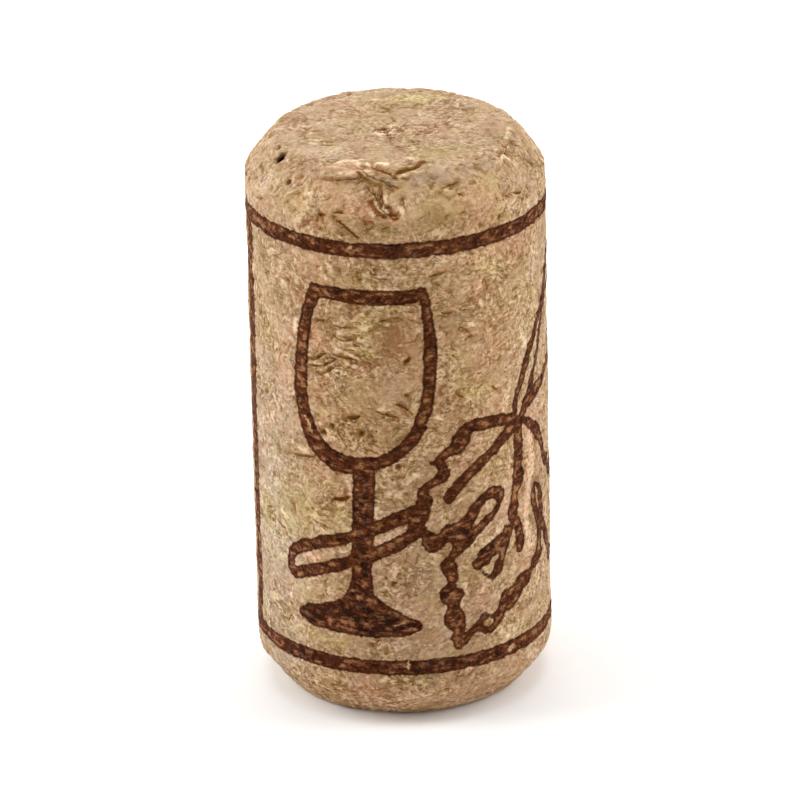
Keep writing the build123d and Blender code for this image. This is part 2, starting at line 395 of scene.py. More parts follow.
# thin splits, drawn left to right: (points on the skin, half widths at the two ends and the middle, depth)
SPLITS = [
    ([(-5.36, -7.98, 43.40), (-4.54, -8.44, 43.44), (-3.37, -8.78, 43.67), (-2.46, -8.91, 43.88)], (.01, .05, .03), .08),
    ([(-2.75, -7.25, 44.0), (-2.35, -7.75, 44.0), (-2.04, -8.56, 44.0), (-1.45, -9.10, 43.87)], (.05, .14, .08), .20),
    ([(-1.15, -9.25, 43.75), (-.40, -9.55, 43.47), (.25, -9.72, 43.26)], (.08, .14, .05), .20),
    ([(-1.75, -7.0, 44.0), (-1.25, -7.50, 44.0), (-.75, -7.85, 44.0)], (.05, .14, .10), .20),
    ([(-.65, -8.1, 44.0), (-.30, -8.45, 43.98), (.19, -9.15, 43.87)], (.08, .15, .06), .20),
    ([(.20, -8.38, 44.0), (1.11, -7.85, 44.0), (1.6, -7.45, 44.0), (2.12, -7.02, 44.0), (2.3, -6.6, 44.0)], (.05, .08, .03), .12),
    ([(-2.05, -9.55, 43.2), (-1.72, -9.75, 42.95), (-1.49, -9.93, 42.80), (-1.26, -10.44, 42.25)], (.03, .07, .07), .20),
    ([(-1.20, -10.50, 42.15), (-.98, -10.72, 41.92), (-.70, -10.90, 41.74)], (.05, .08, .06), .20),
    ([(-.62, -10.98, 41.78), (-.38, -11.06, 41.66), (-.16, -11.1, 41.70)], (.05, .09, .07), .20),
    ([(-.16, -11.05, 41.55), (.08, -11.02, 41.66), (.22, -10.9, 41.88)], (.05, .09, .05), .18),
    ([(.24, -10.8, 42.02), (.34, -10.6, 42.30), (.30, -10.4, 42.55)], (.03, .04, .02), .12),
    ([(-.98, -9.80, 43.10), (-1.00, -10.15, 42.7), (-.92, -10.40, 42.4)], (.04, .09, .05), .16),
    ([(-.80, -10.50, 42.3), (-.62, -10.62, 42.12), (-.45, -10.68, 42.10)], (.05, .12, .06), .18),
    ([(.40, -10.05, 42.85), (.56, -10.30, 42.51), (.71, -10.71, 41.96)], (.04, .09, .05), .14),
    ([side(-4.35, 40.85, .1), side(-4.05, 40.6), side(-3.6, 40.28), side(-3.15, 39.95), side(-2.8, 39.72)], (.03, .08, .05), .18),
    ([side(-4.9, 41.45, .3), side(-4.5, 41.6, .35), side(-4.2, 41.55, .3)], (.04, .09, .05), .12),
    ([(3.30, -9.38, 43.0), (3.9, -9.08, 43.05), (4.56, -8.66, 43.18)], (.04, .10, .06), .15),
    ([(4.55, -9.24, 42.52), (5.04, -9.23, 42.24)], (.07, .08, .05), .12),
    ([(7.95, -2.75, 44.0), (8.17, -3.10, 43.98), (8.49, -3.68, 43.87), (8.39, -4.31, 43.64)], (.04, .12, .07), .17),
    ([side(-5.35, 18.28), side(-4.95, 18.35), side(-4.55, 18.45), side(-4.15, 18.66)], (.08, .15, .06), .26),
    ([side(-9.3, 21.15), side(-8.6, 21.18), side(-7.9, 21.3), side(-7.25, 21.36)], (.04, .11, .07), .16),
    ([side(-4.05, 25.2), side(-3.6, 25.23), side(-3.1, 25.36)], (.08, .13, .06), .18),
    ([side(-2.0, 25.95), side(-1.4, 25.75), side(-.8, 25.62), side(-.15, 25.35)], (.04, .10, .07), .14),
    ([side(-.25, 26.5), side(.25, 26.3), side(.6, 25.95), side(.95, 25.6)], (.10, .10, .04), .16),
    ([side(-7.1, 29.35), side(-6.6, 29.5), side(-6.15, 29.85), side(-5.7, 30.15)], (.05, .10, .04), .14),
    ([side(-6.95, 28.92), side(-6.2, 29.02), side(-5.5, 29.35), side(-4.9, 29.8)], (.05, .10, .04), .15),
    ([side(-6.1, 28.45), side(-5.5, 28.75), side(-5.0, 29.15)], (.03, .08, .03), .10),
    ([side(-5.45, 30.5), side(-4.9, 30.1), side(-4.1, 30.02), side(-3.3, 29.95)], (.04, .09, .05), .14),
    ([side(-5.2, 31.75), side(-4.5, 31.42), side(-3.7, 31.55), side(-3.05, 31.9)], (.04, .08, .05), .12),
    ([side(-5.1, 32.5), side(-4.4, 32.42), side(-3.6, 32.5)], (.03, .08, .04), .10),
    ([side(-6.55, 32.55), side(-6.2, 32.68), side(-5.8, 32.75)], (.05, .11, .05), .14),
    ([side(-1.55, 33.05), side(-1.2, 33.2), side(-.85, 33.25)], (.04, .11, .05), .13),
    ([side(3.1, 33.75), side(3.6, 33.5), side(4.2, 33.55)], (.05, .09, .04), .11),
    ([side(4.75, 32.2), side(5.2, 31.9), side(5.6, 31.5)], (.06, .09, .04), .11),
    ([side(7.45, 26.75), side(7.7, 26.55), side(8.0, 26.3)], (.08, .11, .05), .15),
    ([side(4.3, 26.95), side(4.7, 26.7), side(4.95, 26.45)], (.06, .10, .04), .13),
    ([side(2.4, 36.6), side(3.1, 36.7), side(3.7, 36.85)], (.06, .09, .05), .11),
    ([side(-2.1, 36.75), side(-1.5, 36.68), side(-.8, 36.55)], (.05, .09, .05), .11),
    ([side(-11.4, 15.1), side(-10.9, 14.75), side(-10.3, 14.6)], (.06, .11, .05), .15),
    ([side(10.3, 41.5, .2), side(10.8, 41.35), side(11.2, 41.2)], (.08, .12, .05), .18),
]
# edges where one layer stands above the next: (points, rise above the line, drop below it)
LEDGES = [
    ([(-5.6, -7.75, 43.45), (-5.0, -8.20, 43.42), (-4.54, -8.44, 43.44), (-3.37, -8.78, 43.67), (-2.46, -8.91, 43.88), (-2.0, -8.9, 43.95)], .10, .05),
    ([(-.2, -8.35, 44.0), (.9, -7.95, 44.0), (1.9, -7.2, 44.0)], .03, .09),
    ([side(-2.1, 42.8, .9), side(-1.9, 42.0, .4), side(-1.1, 41.65, .1), side(-.2, 41.55), side(.4, 41.9, .2)], .05, .05),
]
# pits and specks: (point, half width, depth, darkness)
PITS = [
    ((-8.68, -3.96, 43.50), .29, .70, 1.8), ((-8.50, -3.98, 43.70), .22, .55, 1.6), ((-8.28, -3.90, 43.95), .17, .30, 1.0),
    ((-8.10, -3.66, 44.0), .12, .15, .6), ((-8.67, -2.74, 43.98), .19, .26, .95), ((-8.58, -2.40, 44.0), .13, .16, .7), ((-7.91, -6.46, 42.63), .17, .24, .95),
    ((6.97, -.30, 44.0), .22, .12, .35), ((-.95, -10.95, 41.58), .14, .14, .6), ((.12, -11.05, 41.42), .12, .12, .6),
    ((-.50, -10.85, 41.98), .10, .10, .5), ((-1.45, -10.15, 42.45), .12, .12, .6), ((3.97, .93, 44.0), .15, .16, .6), ((-.80, .20, 44.0), .16, .14, .55),
    ((-.45, .42, 44.0), .14, .12, .5), ((.25, .12, 44.0), .20, .14, .5), ((.62, -.05, 44.0), .15, .12, .45),
    ((.05, 1.9, 44.0), .14, .12, .5), ((-.5, -.75, 44.0), .16, .12, .4), ((2.5, -.5, 44.0), .18, .12, .4),
    ((2.9, 4.4, 44.0), .20, .12, .35), ((-6.95, -.1, 44.0), .16, .12, .4), ((-6.5, .6, 44.0), .13, .10, .4),
    ((-3.6, -1.6, 44.0), .18, .12, .45), ((.55, -3.6, 44.0), .20, .14, .45), ((1.25, -4.6, 44.0), .15, .12, .45),
    ((-.5, 7.0, 44.0), .16, .10, .4), ((7.5, -8.1, 41.6), .14, .15, .5), (side(9.95, 41.4, .2), .16, .16, .6),
    ((10.16, -2.78, 42.22), .14, .18, .7), ((9.64, -3.57, 42.54), .10, .12, .6), (side(-8.95, 43.25, 1.4), .15, .16, .7),
    (side(-5.9, 41.2, .1), .12, .16, .7), (side(-4.05, 39.9), .10, .12, .6), (side(-2.55, 42.7, 1.0), .12, .14, .5),
    (side(-2.95, 24.0), .14, .20, .8), (side(-5.36, 24.35), .16, .20, .75), (side(-6.1, 23.7), .17, .22, .75),
    (side(.5, 30.0), .15, .20, .7), (side(.72, 30.2), .11, .16, .6), (side(.45, 27.25), .12, .14, .6),
    (side(-6.0, 28.05), .09, .12, .55), (side(-9.2, 35.25), .13, .14, .55), (side(-10.3, 34.9), .13, .14, .5),
    (side(-.25, 21.4), .14, .18, .8), (side(-5.0, 20.5), .13, .16, .6), (side(-6.15, 20.85), .13, .15, .55),
    (side(-6.55, 19.5), .13, .14, .5), (side(-.72, 11.85), .15, .18, .7), (side(-1.35, 12.3), .13, .15, .55),
    (side(-9.7, 8.6), .15, .16, .55), (side(-2.5, 6.6), .15, .16, .6), (side(-2.75, 6.05), .13, .14, .55),
    (side(-1.4, 6.0), .12, .12, .5), (side(-11.0, 19.0), .13, .12, .4), (side(8.5, 40.1), .14, .14, .6),
    (side(6.6, 40.0), .12, .12, .5), (side(3.5, 29.5), .13, .14, .5), (side(3.6, 28.5), .12, .12, .45),
    (side(4.4, 27.1), .13, .14, .5), (side(2.7, 24.3), .13, .14, .55), (side(13.2, 33.9), .12, .12, .4),
    (side(-10.9, 1.4, 1.0), .20, .24, .75), (side(-11.4, 1.9, .6), .14, .18, .6), (side(-9.6, 2.2, .3), .15, .18, .6),
    (side(2.2, 2.4, .2), .14, .16, .5), (side(5.3, 1.7, .8), .15, .16, .55), (side(-3.5, 2.9), .13, .14, .5),
    (side(-5.6, 36.7), .15, .14, .5), (side(-2.9, 36.5), .13, .13, .5), (side(2.7, 36.6), .13, .13, .5),
]
# soft patches of tone on the side: (s, z, half width, half height, lighter, pinker, more olive, livelier)
# most are the cork's own tone; some are painted light and shade: the lighter band across the top chamfer near z 42.5
# and on its right, and the lighter strips near the left and right edges, are painted light; just above the foot across
# the front a darker band is painted shade, with a lighter band above it
SIDE_TONES = [
    (12.6, 33.5, 2.2, 5.0, .09, 0, 0, 0),
    (0.0, 2.4, 9.5, 1.9, -.01, .20, 0, 0), (-1.5, 22.0, 6.0, 15.0, .01, .07, 0, 0), (-12.6, 17.5, 1.8, 5.0, .08, 0, .05, 0),
    (0, 42.5, 11.0, 1.5, .22, 0, 0, -.1), (-12.4, 19.0, 1.6, 2.6, .12, 0, 0, 0), (-8.0, 15.4, 1.8, 1.2, .10, 0, 0, 0), (0, 3.2, 13.0, .9, .12, .05, 0, 0), (0, .9, 13.0, 1.2, -.10, .14, 0, 0),
    (-1.0, 22.0, 6.0, 17.0, -.09, 0, 0, 0), (-10.8, 12.0, 3.4, 9.0, .12, 0, 0, 0), (9.6, 16.0, 1.6, 3.0, .14, .10, 0, 0), (1.5, 14.0, 1.5, 2.3, .18, .06, 0, 0),
    (-3.4, 37.7, 2.8, .7, -.24, .05, 0, 0), (3.2, 28.8, 1.2, 1.0, -.12, 0, 0, 0), (7.6, 27.0, 1.3, 1.2, -.12, 0, 0, 0),
    (-9.2, 32.4, 1.0, 1.2, -.10, .05, 0, 0), (8.6, 42.2, 3.2, 1.4, .12, 0, 0, 0), (11.2, 17.5, 1.5, 4.6, .06, .20, 0, 0),
    (-.2, 31.8, 1.5, 1.7, -.28, .30, 0, -.9), (-6.7, 31.6, .9, 1.2, .12, .40, 0, 0), (-9.9, 28.0, 1.2, 3.6, .12, .32, 0, -.4),
    (-10.6, 23.0, 1.2, 2.0, .14, .05, .1, 0), (-8.5, 17.2, 2.6, 2.2, .04, 0, .40, 0), (-4.7, 17.2, .6, .8, 0, 0, .5, 0),
    (-2.3, 32.9, 1.3, .8, .05, 0, .45, .3), (-2.6, 30.6, .6, .5, -.12, 0, .5, 0), (-5.0, 30.4, 2.0, 2.8, 0, 0, 0, .9),
    (-3.6, 24.4, 2.2, 1.0, -.05, 0, .15, .5), (1.8, 10.0, 1.7, 1.0, -.10, .35, 0, -.5), (-6.8, 6.7, 3.0, .6, .05, 0, .35, -.3),
    (-6.8, 40.3, 1.0, .5, 0, .45, 0, .2), (-2.2, 41.6, 1.0, .8, 0, .40, 0, .3), (7.2, 36.5, 1.6, .9, .10, 0, .40, .2),
    (11.6, 33.0, 1.6, 1.0, .12, 0, .35, .2), (11.2, 37.4, 2.4, 1.5, 0, .40, 0, 0), (12.6, 23.0, 1.8, 1.6, .12, .42, 0, 0),
    (4.8, 29.6, 1.4, .9, .05, 0, .10, -.5), (6.2, 29.0, 1.2, .8, 0, .30, 0, -.4), (5.5, 27.0, 1.6, .9, 0, 0, .35, 0),
    (-3.5, 29.5, .9, .6, 0, .25, 0, 0), (-1.5, 27.5, 1.6, 1.5, .05, .05, 0, -.4), (-11.5, 41.0, 1.6, 1.0, .16, .10, 0, -.5),
    (-8.6, 41.6, 1.4, .7, .10, 0, .25, -.5), (3.6, 41.6, 1.8, 1.2, -.06, 0, .25, -.6), (6.8, 42.0, 1.4, 1.0, .02, .25, 0, -.6),
    (5.5, 12.2, 1.4, 1.0, .10, 0, .30, 0), (5.2, 21.4, 1.6, 1.5, -.14, .25, 0, 0), (10.8, 12.0, 1.2, 1.5, .10, .30, 0, 0),
    (-12.6, 15.0, .9, 1.4, -.10, 0, .50, .2), (-2.6, 15.5, .8, .4, .10, .35, 0, 0), (-7.4, 13.1, 1.8, .4, .18, .45, 0, 0),
    (0.8, 4.0, 3.0, 1.2, -.04, 0, .20, .2), (-9.5, 35.0, 1.2, .9, .08, .15, 0, 0), (-11.5, 32.0, 1.0, 2.0, .10, .10, .1, -.3),
    (3.6, 38.0 - 1.2, 2.2, .6, -.03, .15, 0, 0), (-.8, 40.6, 1.0, .9, -.02, 0, .25, 0),
]
# the same on the top face: (x, y, half sizes, ...)
TOP_TONES = [
    (1.6, 6.5, 2.6, .8, .22, 0, .46, 0), (-4.0, -7.1, 1.5, .8, -.02, .34, 0, -.6), (-6.6, -4.0, 1.2, 1.3, .18, .15, 0, -.4),
    (-6.0, 5.4, 1.2, 1.6, .12, 0, 0, -.4), (7.2, 1.5, 1.0, 3.0, .02, .30, 0, -.5), (2.6, -5.0, 2.0, 1.3, .04, 0, .30, -.4),
    (-3.0, 3.0, 2.0, 1.6, -.04, .15, .1, 0), (-.2, 0, 1.2, 1.4, 0, 0, 0, .9), (2.6, 0, 1.0, 1.6, 0, .10, 0, .6),
    (-6.8, .3, .8, 1.2, .10, .25, 0, .5), (6.5, -4.6, .9, 1.3, .14, 0, .15, 0), (0.2, -8.0, 1.6, .7, -.04, 0, .40, .5),
    (-1.6, -5.0, 1.4, 1.1, .04, .20, 0, -.4), (-.6, 4.4, .8, .7, -.12, 0, .20, 0), (4.6, 3.0, .8, 3.0, 0, 0, 0, .6),
]

# small marks, by kind: (strength, half width, points); a point with two numbers lies on the side, (s, z). The print_
# ones lie over the print: where it is missed, thin or thick.
# the pale and dark kinds are partly the cork's own crumbs and specks and partly painted highlight and painted shade on
# small lumps, ridges and creases
MARKS = {
    "dark": [
        (.4, .13, [(-5.69, -7.8, 43.36)]), (.25, .19, [(-5.05, -7.29, 44), (-4.32, -7.82, 44)]),
        (.7, .11, [(-2.46, -6.95, 44), (-2.17, -7.16, 44)]), (.5, .08, [(-2.13, -6.23, 44)]),
        (1, .13, [(-2.68, -8.31, 44), (-2.41, -8.81, 44), (-2.14, -8.97, 43.9), (-2, -9.08, 43.81)]),
        (.55, .1, [(-1.41, -7.7, 44), (-1.34, -8.48, 44)]),
        (.85, .12, [(-1.11, -7.62, 44), (-.79, -7.98, 44), (-.43, -8.24, 44)]),
        (.9, .11, [(.12, -8.47, 44), (.23, -8.23, 44), (.6, -7.96, 44), (1.15, -7.75, 44), (1.61, -7.28, 44), (1.89, -6.71, 44), (2.18, -6.33, 44)]),
        (.6, .1, [(-.32, -9.16, 43.98), (-.07, -8.85, 44)]), (.28, .19, [(1.21, -8.97, 44), (1.42, -9.08, 43.94)]),
        (.95, .11, [(-2, -10.18, 42.43), (-1.75, -10.38, 42.23), (-1.61, -10.58, 42), (-1.36, -10.82, 41.74), (-1.11, -10.92, 41.65)]),
        (.5, .08, [(-2, -10.2, 42.4), (-1.45, -10.16, 42.57), (-1.16, -10.12, 42.66)]),
        (.7, .09, [(-1.11, -9.76, 43.14), (-1.08, -10.06, 42.75), (-1.05, -10.3, 42.46)]),
        (.9, .11, [(-1.09, -10.29, 42.46), (-1.06, -10.48, 42.22)]),
        (.9, .12, [(-.59, -10.59, 42.13), (-.45, -10.69, 42.01)]),
        (1, .12, [(-1.04, -10.97, 41.6), (-.82, -11.03, 41.54)]),
        (1.1, .16, [(-.38, -10.97, 41.66), (-.2, -11.04, 41.57), (-.06, -11.16, 41.41)]),
        (.5, .08, [(-.16, -10.83, 41.83), (-.1, -11.04, 41.56)]),
        (.6, .12, [(.37, -10.26, 42.56), (.66, -10.21, 42.61)]),
        (.25, .15, [(.1, -10.05, 42.84), (.19, -10.24, 42.6)]),
        (.45, .1, [(-2.54, -10.08, 42.4), (-2.51, -10.18, 42.28)]), (.45, .19, [(-7.42, 40.41), (-7.06, 40.65)]),
        (.45, .17, [(-7.62, 39.95), (-7.38, 40.07)]), (.35, .15, [(-5.97, 40.13), (-5.55, 40.12)]),
        (.8, .11, [(-5.98, 41.15), (-5.6, 41.25)]),
        (.3, .1, [(-5.98, -8.95, 41.93), (-5.87, -9.27, 41.66), (-5.66, -9.69, 41.34)]),
        (.25, .15, [(-8.89, 40.2), (-8.35, 40.46)]), (.22, .12, [(-3.65, -10.41, 41.58), (-3.92, 41.26)]),
        (.25, .12, [(-4.49, -9.98, 41.7)]),
        (.75, .1, [(-4.52, 40.91), (-4.13, 40.61), (-3.75, 40.38), (-3.38, 40.07), (-2.97, 39.71)]),
        (.3, .12, [(-4.15, 39.9), (-3.96, 39.89)]), (.38, .15, [(7.49, -6.29, 43.19), (7.73, -6.01, 43.17)]),
        (.5, .1, [(8.36, -3.08, 44), (8.62, -2.64, 44), (8.85, -2.26, 44)]),
        (.55, .1, [(7.88, -4.7, 43.97), (8.24, -4.24, 43.85), (8.36, -4.3, 43.68)]),
        (.4, .1, [(8.62, -3.47, 43.82), (8.81, -3.02, 43.79), (8.97, -2.57, 43.77)]),
        (.5, .08, [(8.12, -5.06, 43.46)]), (.5, .15, [(8.93, -.56, 44), (9.02, -1.27, 44)]),
        (.28, .12, [(7.69, .12, 44), (7.65, -1.49, 44)]),
        (.55, .15, [(9.92, -2.98, 42.45), (10.18, -2.71, 42.22), (10.24, -2.98, 42.05)]),
        (.6, .17, [(9.09, -6.47, 41.42), (11.04, 41.25)]), (.3, .12, [(9.48, -5.48, 41.68)]),
        (.25, .1, [(9.02, -5.32, 42.3), (9.01, -5.63, 42.11)]),
        (.22, .15, [(3.98, -10.43, 41.41), (4.35, -10.25, 41.45)]),
        (.75, .13, [(-1.18, .03, 44), (-.95, .27, 44), (-.66, .4, 44)]),
        (.4, .12, [(-1.74, -.94, 44), (-1.19, -1.47, 44)]), (.5, .13, [(-.56, -.81, 44), (-.35, -1.02, 44)]),
        (.5, .12, [(.02, 2.13, 44), (.18, 1.66, 44)]), (.35, .15, [(.12, .05, 44), (.56, -.12, 44)]),
        (.42, .15, [(.36, -3.86, 44), (.76, -3.88, 44)]), (.55, .15, [(3.82, 1.25, 44), (4.08, 1.33, 44)]),
        (.32, .13, [(4.05, 4.17, 44), (4.34, 3.85, 44)]), (.3, .12, [(3.96, 5.3, 44), (4.14, 5.5, 44)]),
        (.35, .19, [(2.64, 4.26, 44), (3.2, 4.33, 44)]), (.38, .12, [(3.01, .99, 44), (3.19, .68, 44)]),
        (.36, .12, [(2.4, -.48, 44), (2.69, -.75, 44)]), (.3, .12, [(3.13, -.92, 44), (3.23, -1.38, 44)]),
        (.3, .12, [(2.24, 1.59, 44), (2.53, 1.52, 44)]), (.38, .12, [(-3.58, -1.64, 44), (-3.36, -1.75, 44)]),
        (.42, .1, [(-6.79, -.4, 44), (-6.53, .29, 44), (-6.24, .83, 44)]), (.42, .12, [(-7.04, -.73, 44)]),
        (.42, .1, [(-6.71, -1.4, 44), (-6.44, -1.17, 44)]), (.35, .19, [(-.84, 7.02, 44), (-.61, 6.9, 44)]),
        (.3, .13, [(-.09, 7.39, 44), (.17, 7.17, 44)]), (.38, .15, [(-10.35, 34.86)]),
        (.32, .15, [(-9.11, 35.2), (-8.94, 35.4)]), (.5, .12, [(-8.44, 32.88), (-8.25, 32.71)]),
        (.38, .1, [(-8.83, 32.07), (-8.85, 31.67)]), (.3, .12, [(-10.72, 25.44)]),
        (.28, .13, [(-10.27, 24.3), (-9.91, 24.5)]), (.38, .12, [(-8.15, 22.64), (-8.01, 22.48)]),
        (.32, .1, [(-7.77, 22.3)]), (.55, .1, [(-8.66, 21.2), (-8.15, 21.22), (-7.57, 21.32), (-7.1, 21.38)]),
        (.38, .1, [(-5.67, 37.27), (-5.51, 36.9), (-5.36, 36.65)]), (.3, .15, [(-2.39, 37.28)]),
        (.42, .15, [(-2.89, 36.45)]), (.3, .12, [(-4.79, 38.2), (-4.59, 38)]),
        (.7, .15, [(-3.59, 34.47), (-3.2, 34.45)]), (.42, .12, [(-3.06, 34.19), (-2.95, 33.88)]),
        (.65, .1, [(-6.53, 32.67), (-6.18, 32.66), (-5.8, 32.73)]),
        (.45, .1, [(-5.12, 33.13), (-4.72, 33.07), (-4.32, 33.01), (-3.93, 32.9), (-3.55, 32.83)]),
        (.5, .1, [(-5.02, 32.31), (-4.66, 32.33), (-4.14, 32.32), (-3.67, 32.5)]),
        (.3, .12, [(-2.88, 33.57), (-2.59, 33.39)]), (.65, .1, [(-1.29, 33.04), (-1, 33.17), (-.74, 33.23)]),
        (.5, .1, [(-4.04, 31.7), (-3.65, 31.75), (-3.3, 31.94)]), (.42, .1, [(-0, 33.46), (.29, 33.29)]),
        (.42, .09, [(-6.03, 30.46), (-5.82, 30.22), (-6.18, 29.83)]),
        (.55, .1, [(-7.21, 29.44), (-6.71, 29.56), (-6.26, 29.81), (-5.83, 30.14)]),
        (.52, .1, [(-5.49, 30.14), (-5, 30.09), (-4.68, 30)]),
        (.6, .1, [(-4.59, 30.17), (-4.2, 30.07), (-3.69, 30.03), (-3.43, 29.86), (-3.16, 29.75)]),
        (.6, .09, [(-7.19, 28.85), (-6.73, 28.91), (-6.29, 28.97)]),
        (.52, .08, [(-6.08, 28.85), (-5.73, 29.22), (-5.3, 29.52), (-4.81, 29.64)]),
        (.52, .08, [(-6, 28.47), (-5.65, 28.81), (-5.23, 29.15), (-4.61, 29.35)]),
        (.38, .08, [(-6.75, 28.43), (-6.31, 28.4)]), (.42, .1, [(-2.99, 29.03)]), (.3, .15, [(-6.02, 27.98)]),
        (.6, .1, [(.4, 29.71), (.62, 29.94), (.74, 30.18)]), (.42, .1, [(.39, 27.24), (.61, 27.19)]),
        (.25, .12, [(.02, 27.41)]), (.65, .1, [(-.22, 26.53), (.04, 26.45), (.33, 26.24), (.47, 25.99)]),
        (.45, .09, [(-1.67, 25.83), (-1.26, 25.69), (-.9, 25.61), (-.35, 25.45)]),
        (.85, .1, [(-3.96, 25.23), (-3.61, 25.24), (-3.23, 25.32)]), (.38, .13, [(-5.35, 24.45), (-5.28, 24.23)]),
        (.6, .12, [(-6.31, 23.7), (-6.01, 23.58)]), (.42, .1, [(-5.02, 23.14), (-4.9, 22.92)]),
        (.55, .1, [(-3.76, 24.01), (-3.41, 23.99)]), (.65, .12, [(-2.91, 24.3), (-3.07, 23.93)]),
        (.38, .12, [(-2.67, 24.77), (-2.82, 24.51)]), (.3, .12, [(-1.8, 24.86)]), (.25, .12, [(-.25, 24.53)]),
        (.25, .12, [(9.49, 35.37)]), (.25, .12, [(4.29, 36.15)]), (.38, .15, [(3.05, 34.21), (3.28, 34.1)]),
        (.5, .12, [(2.84, 33.36), (3.26, 33.37), (3.61, 33.49), (3.93, 33.56)]), (.35, .12, [(2.98, 34.77)]),
        (.5, .13, [(4.61, 32.13), (4.98, 31.9), (5.22, 31.77)]),
        (.45, .1, [(5.38, 31.36), (5.71, 31.28), (6.01, 31.35)]), (.38, .12, [(6.23, 28.63)]),
        (.38, .15, [(5.24, 28.49), (5.62, 28.29)]), (.32, .15, [(4.82, 27.9)]),
        (.55, .1, [(7.56, 26.7), (7.66, 26.52)]), (.42, .12, [(8.14, 26.13)]),
        (.5, .15, [(4.32, 26.75), (4.8, 26.52)]), (.48, .13, [(7.73, 25.33), (7.77, 24.99)]),
        (.42, .12, [(-.28, 21.38)]), (.3, .15, [(2.06, 21.41)]), (.35, .12, [(2.59, 23.41)]),
        (.38, .15, [(-5.26, 20.15), (-4.65, 19.95), (-4.34, 19.49), (-4.36, 18.88)]),
        (1, .1, [(-5.23, 18.39), (-4.9, 18.32), (-4.49, 18.41), (-4.29, 18.58)]), (.35, .1, [(-6.48, 19.5)]),
        (.3, .12, [(-5.05, 20.45)]), (.3, .12, [(-5.59, 20.53)]), (.35, .13, [(-5.15, 19.76)]),
        (.3, .13, [(-7.91, 18.12)]), (.42, .19, [(-10.93, 15.52), (-10.9, 14.92)]), (.35, .13, [(-11.51, 15.1)]),
        (.5, .15, [(-9.56, 14.62)]), (.38, .12, [(-5.14, 12.01), (-4.78, 11.66)]), (.3, .12, [(-5.58, 11.43)]),
        (.45, .12, [(-1.36, 12.34)]), (.48, .12, [(-.8, 11.94), (-.62, 11.88)]),
        (.3, .15, [(.58, 12.47), (.88, 12.47)]), (.55, .12, [(-2.72, 6.82), (-2.3, 6.77)]), (.4, .1, [(-2.66, 6.08)]),
        (.35, .12, [(-1.47, 6.98), (-1.4, 6.36)]), (.38, .12, [(2.79, 6.76), (3.14, 6.88)]),
        (.55, .15, [(-8.62, -7.11, 2.6), (-8.43, -6.66, 2.04)]), (.3, .12, [(-9.05, 3.42)]),
        (.3, .12, [(-7.02, -7.61, 1.54), (-6.85, -7.2, 1.01)]), (.25, .12, [(-5.28, 3.8)]),
        (.25, .1, [(-1.65, 3.45), (-1.74, 2.99), (-1.25, 2.72), (-.8, 2.85)]), (.35, .12, [(-.5, 2.73)]),
        (.4, .12, [(2.87, -10.63, 2.39), (3.19, 2.84)]), (.3, .12, [(3.99, 3.66), (4.8, 3.27)]),
        (.35, .1, [(6.4, 33.41), (6.84, 33.19)]), (.35, .1, [(8.33, 33.47), (8.69, 33.28)]),
        (.35, .1, [(6.71, 30.62)]), (.35, .1, [(8.09, 28.76), (8.44, 28.61)]), (.3, .1, [(5.61, 25.48)]),
        (.3, .12, [(-3.83, 37.11)]), (.3, .12, [(.82, 38.01)]), (.3, .12, [(-11.56, 33.14)]),
        (.3, .12, [(-11.27, 27.87)]), (.35, .12, [(-9.91, 23)]), (.32, .1, [(-8.93, 19.54)]),
        (.35, .1, [(-6.9, 18.7)]), (.3, .12, [(-9, 16.29)]), (.3, .12, [(-11.29, 9.74)]), (.32, .12, [(-7.46, 9.96)]),
        (.3, .1, [(-5.55, 6.28)]), (.3, .12, [(.13, 6.41)]), (.35, .1, [(.19, 11.4)]), (.32, .12, [(1.78, 12.36)]),
        (.32, .12, [(-3.75, 2.88)]), (.3, .12, [(-2.77, 2.91)]), (.32, .12, [(1.97, 3.88)]),
        (.32, .12, [(3.34, 17.96)]), (.35, .1, [(6.51, 9.25)]), (.5, .1, [(6.18, 13.29), (6.62, 12.84)]),
    ],
    "red": [

        # painted shadow: these first four red marks run along and under the ledge at the front of the chamfer
        (.62, .14, [(-5.25, -8.04, 43.42), (-4.52, -8.41, 43.49), (-3.79, -8.68, 43.59), (-3.06, -8.87, 43.7), (-2.69, -8.93, 43.78)]),
        (.4, .12, [(-4.03, -7.94, 44), (-3.59, -7.87, 44), (-3.05, -7.7, 44)]),
        (.38, .19, [(-4.52, -8.56, 43.32), (-3.79, -8.8, 43.44), (-2.88, -9.02, 43.59)]),
        (.22, .42, [(-3.8, -9.22, 42.94), (-2.53, -9.49, 43.14)]), (.35, .15, [(-6.7, 40.81), (-6.25, 40.7)]),
        (.4, .15, [(-7.9, 40.06), (-7.05, 40.3), (-6.52, 40.33)]), (.3, .19, [(9.52, .02, 43.52), (9.7, 0, 43.29)]),
        (.5, .13, [(8.51, 40.08), (8.74, 40.07)]), (.22, .23, [(6.44, 40.38), (7.43, 39.9)]),
        (.35, .23, [(6.9, -.14, 44), (7.05, -.35, 44)]),
    ],
    "olive": [
        (.3, .15, [(-6.36, -7.77, 42.85), (-6.4, -7.95, 42.65)]),
        (.75, .13, [(-2.69, -9, 43.69), (-2.33, -9.06, 43.74), (-1.79, -9.3, 43.59), (-1.5, -9.46, 43.46), (-1.06, -9.53, 43.44)]),
        (.5, .12, [(-1.02, -9.37, 43.64), (-.99, -9.61, 43.35)]),
        (.24, .33, [(-1.59, -8.27, 44), (-.87, -9.05, 44), (-.33, -9.3, 43.8)]),
        (.65, .15, [(-.7, -9.58, 43.41), (-.34, -9.74, 43.23), (.02, -9.77, 43.2)]),
        (.25, .19, [(2.33, -7.77, 44), (2.53, -7.43, 44)]), (.22, .21, [(-.95, 40.87), (-.59, 40.4), (-.23, 40.16)]),
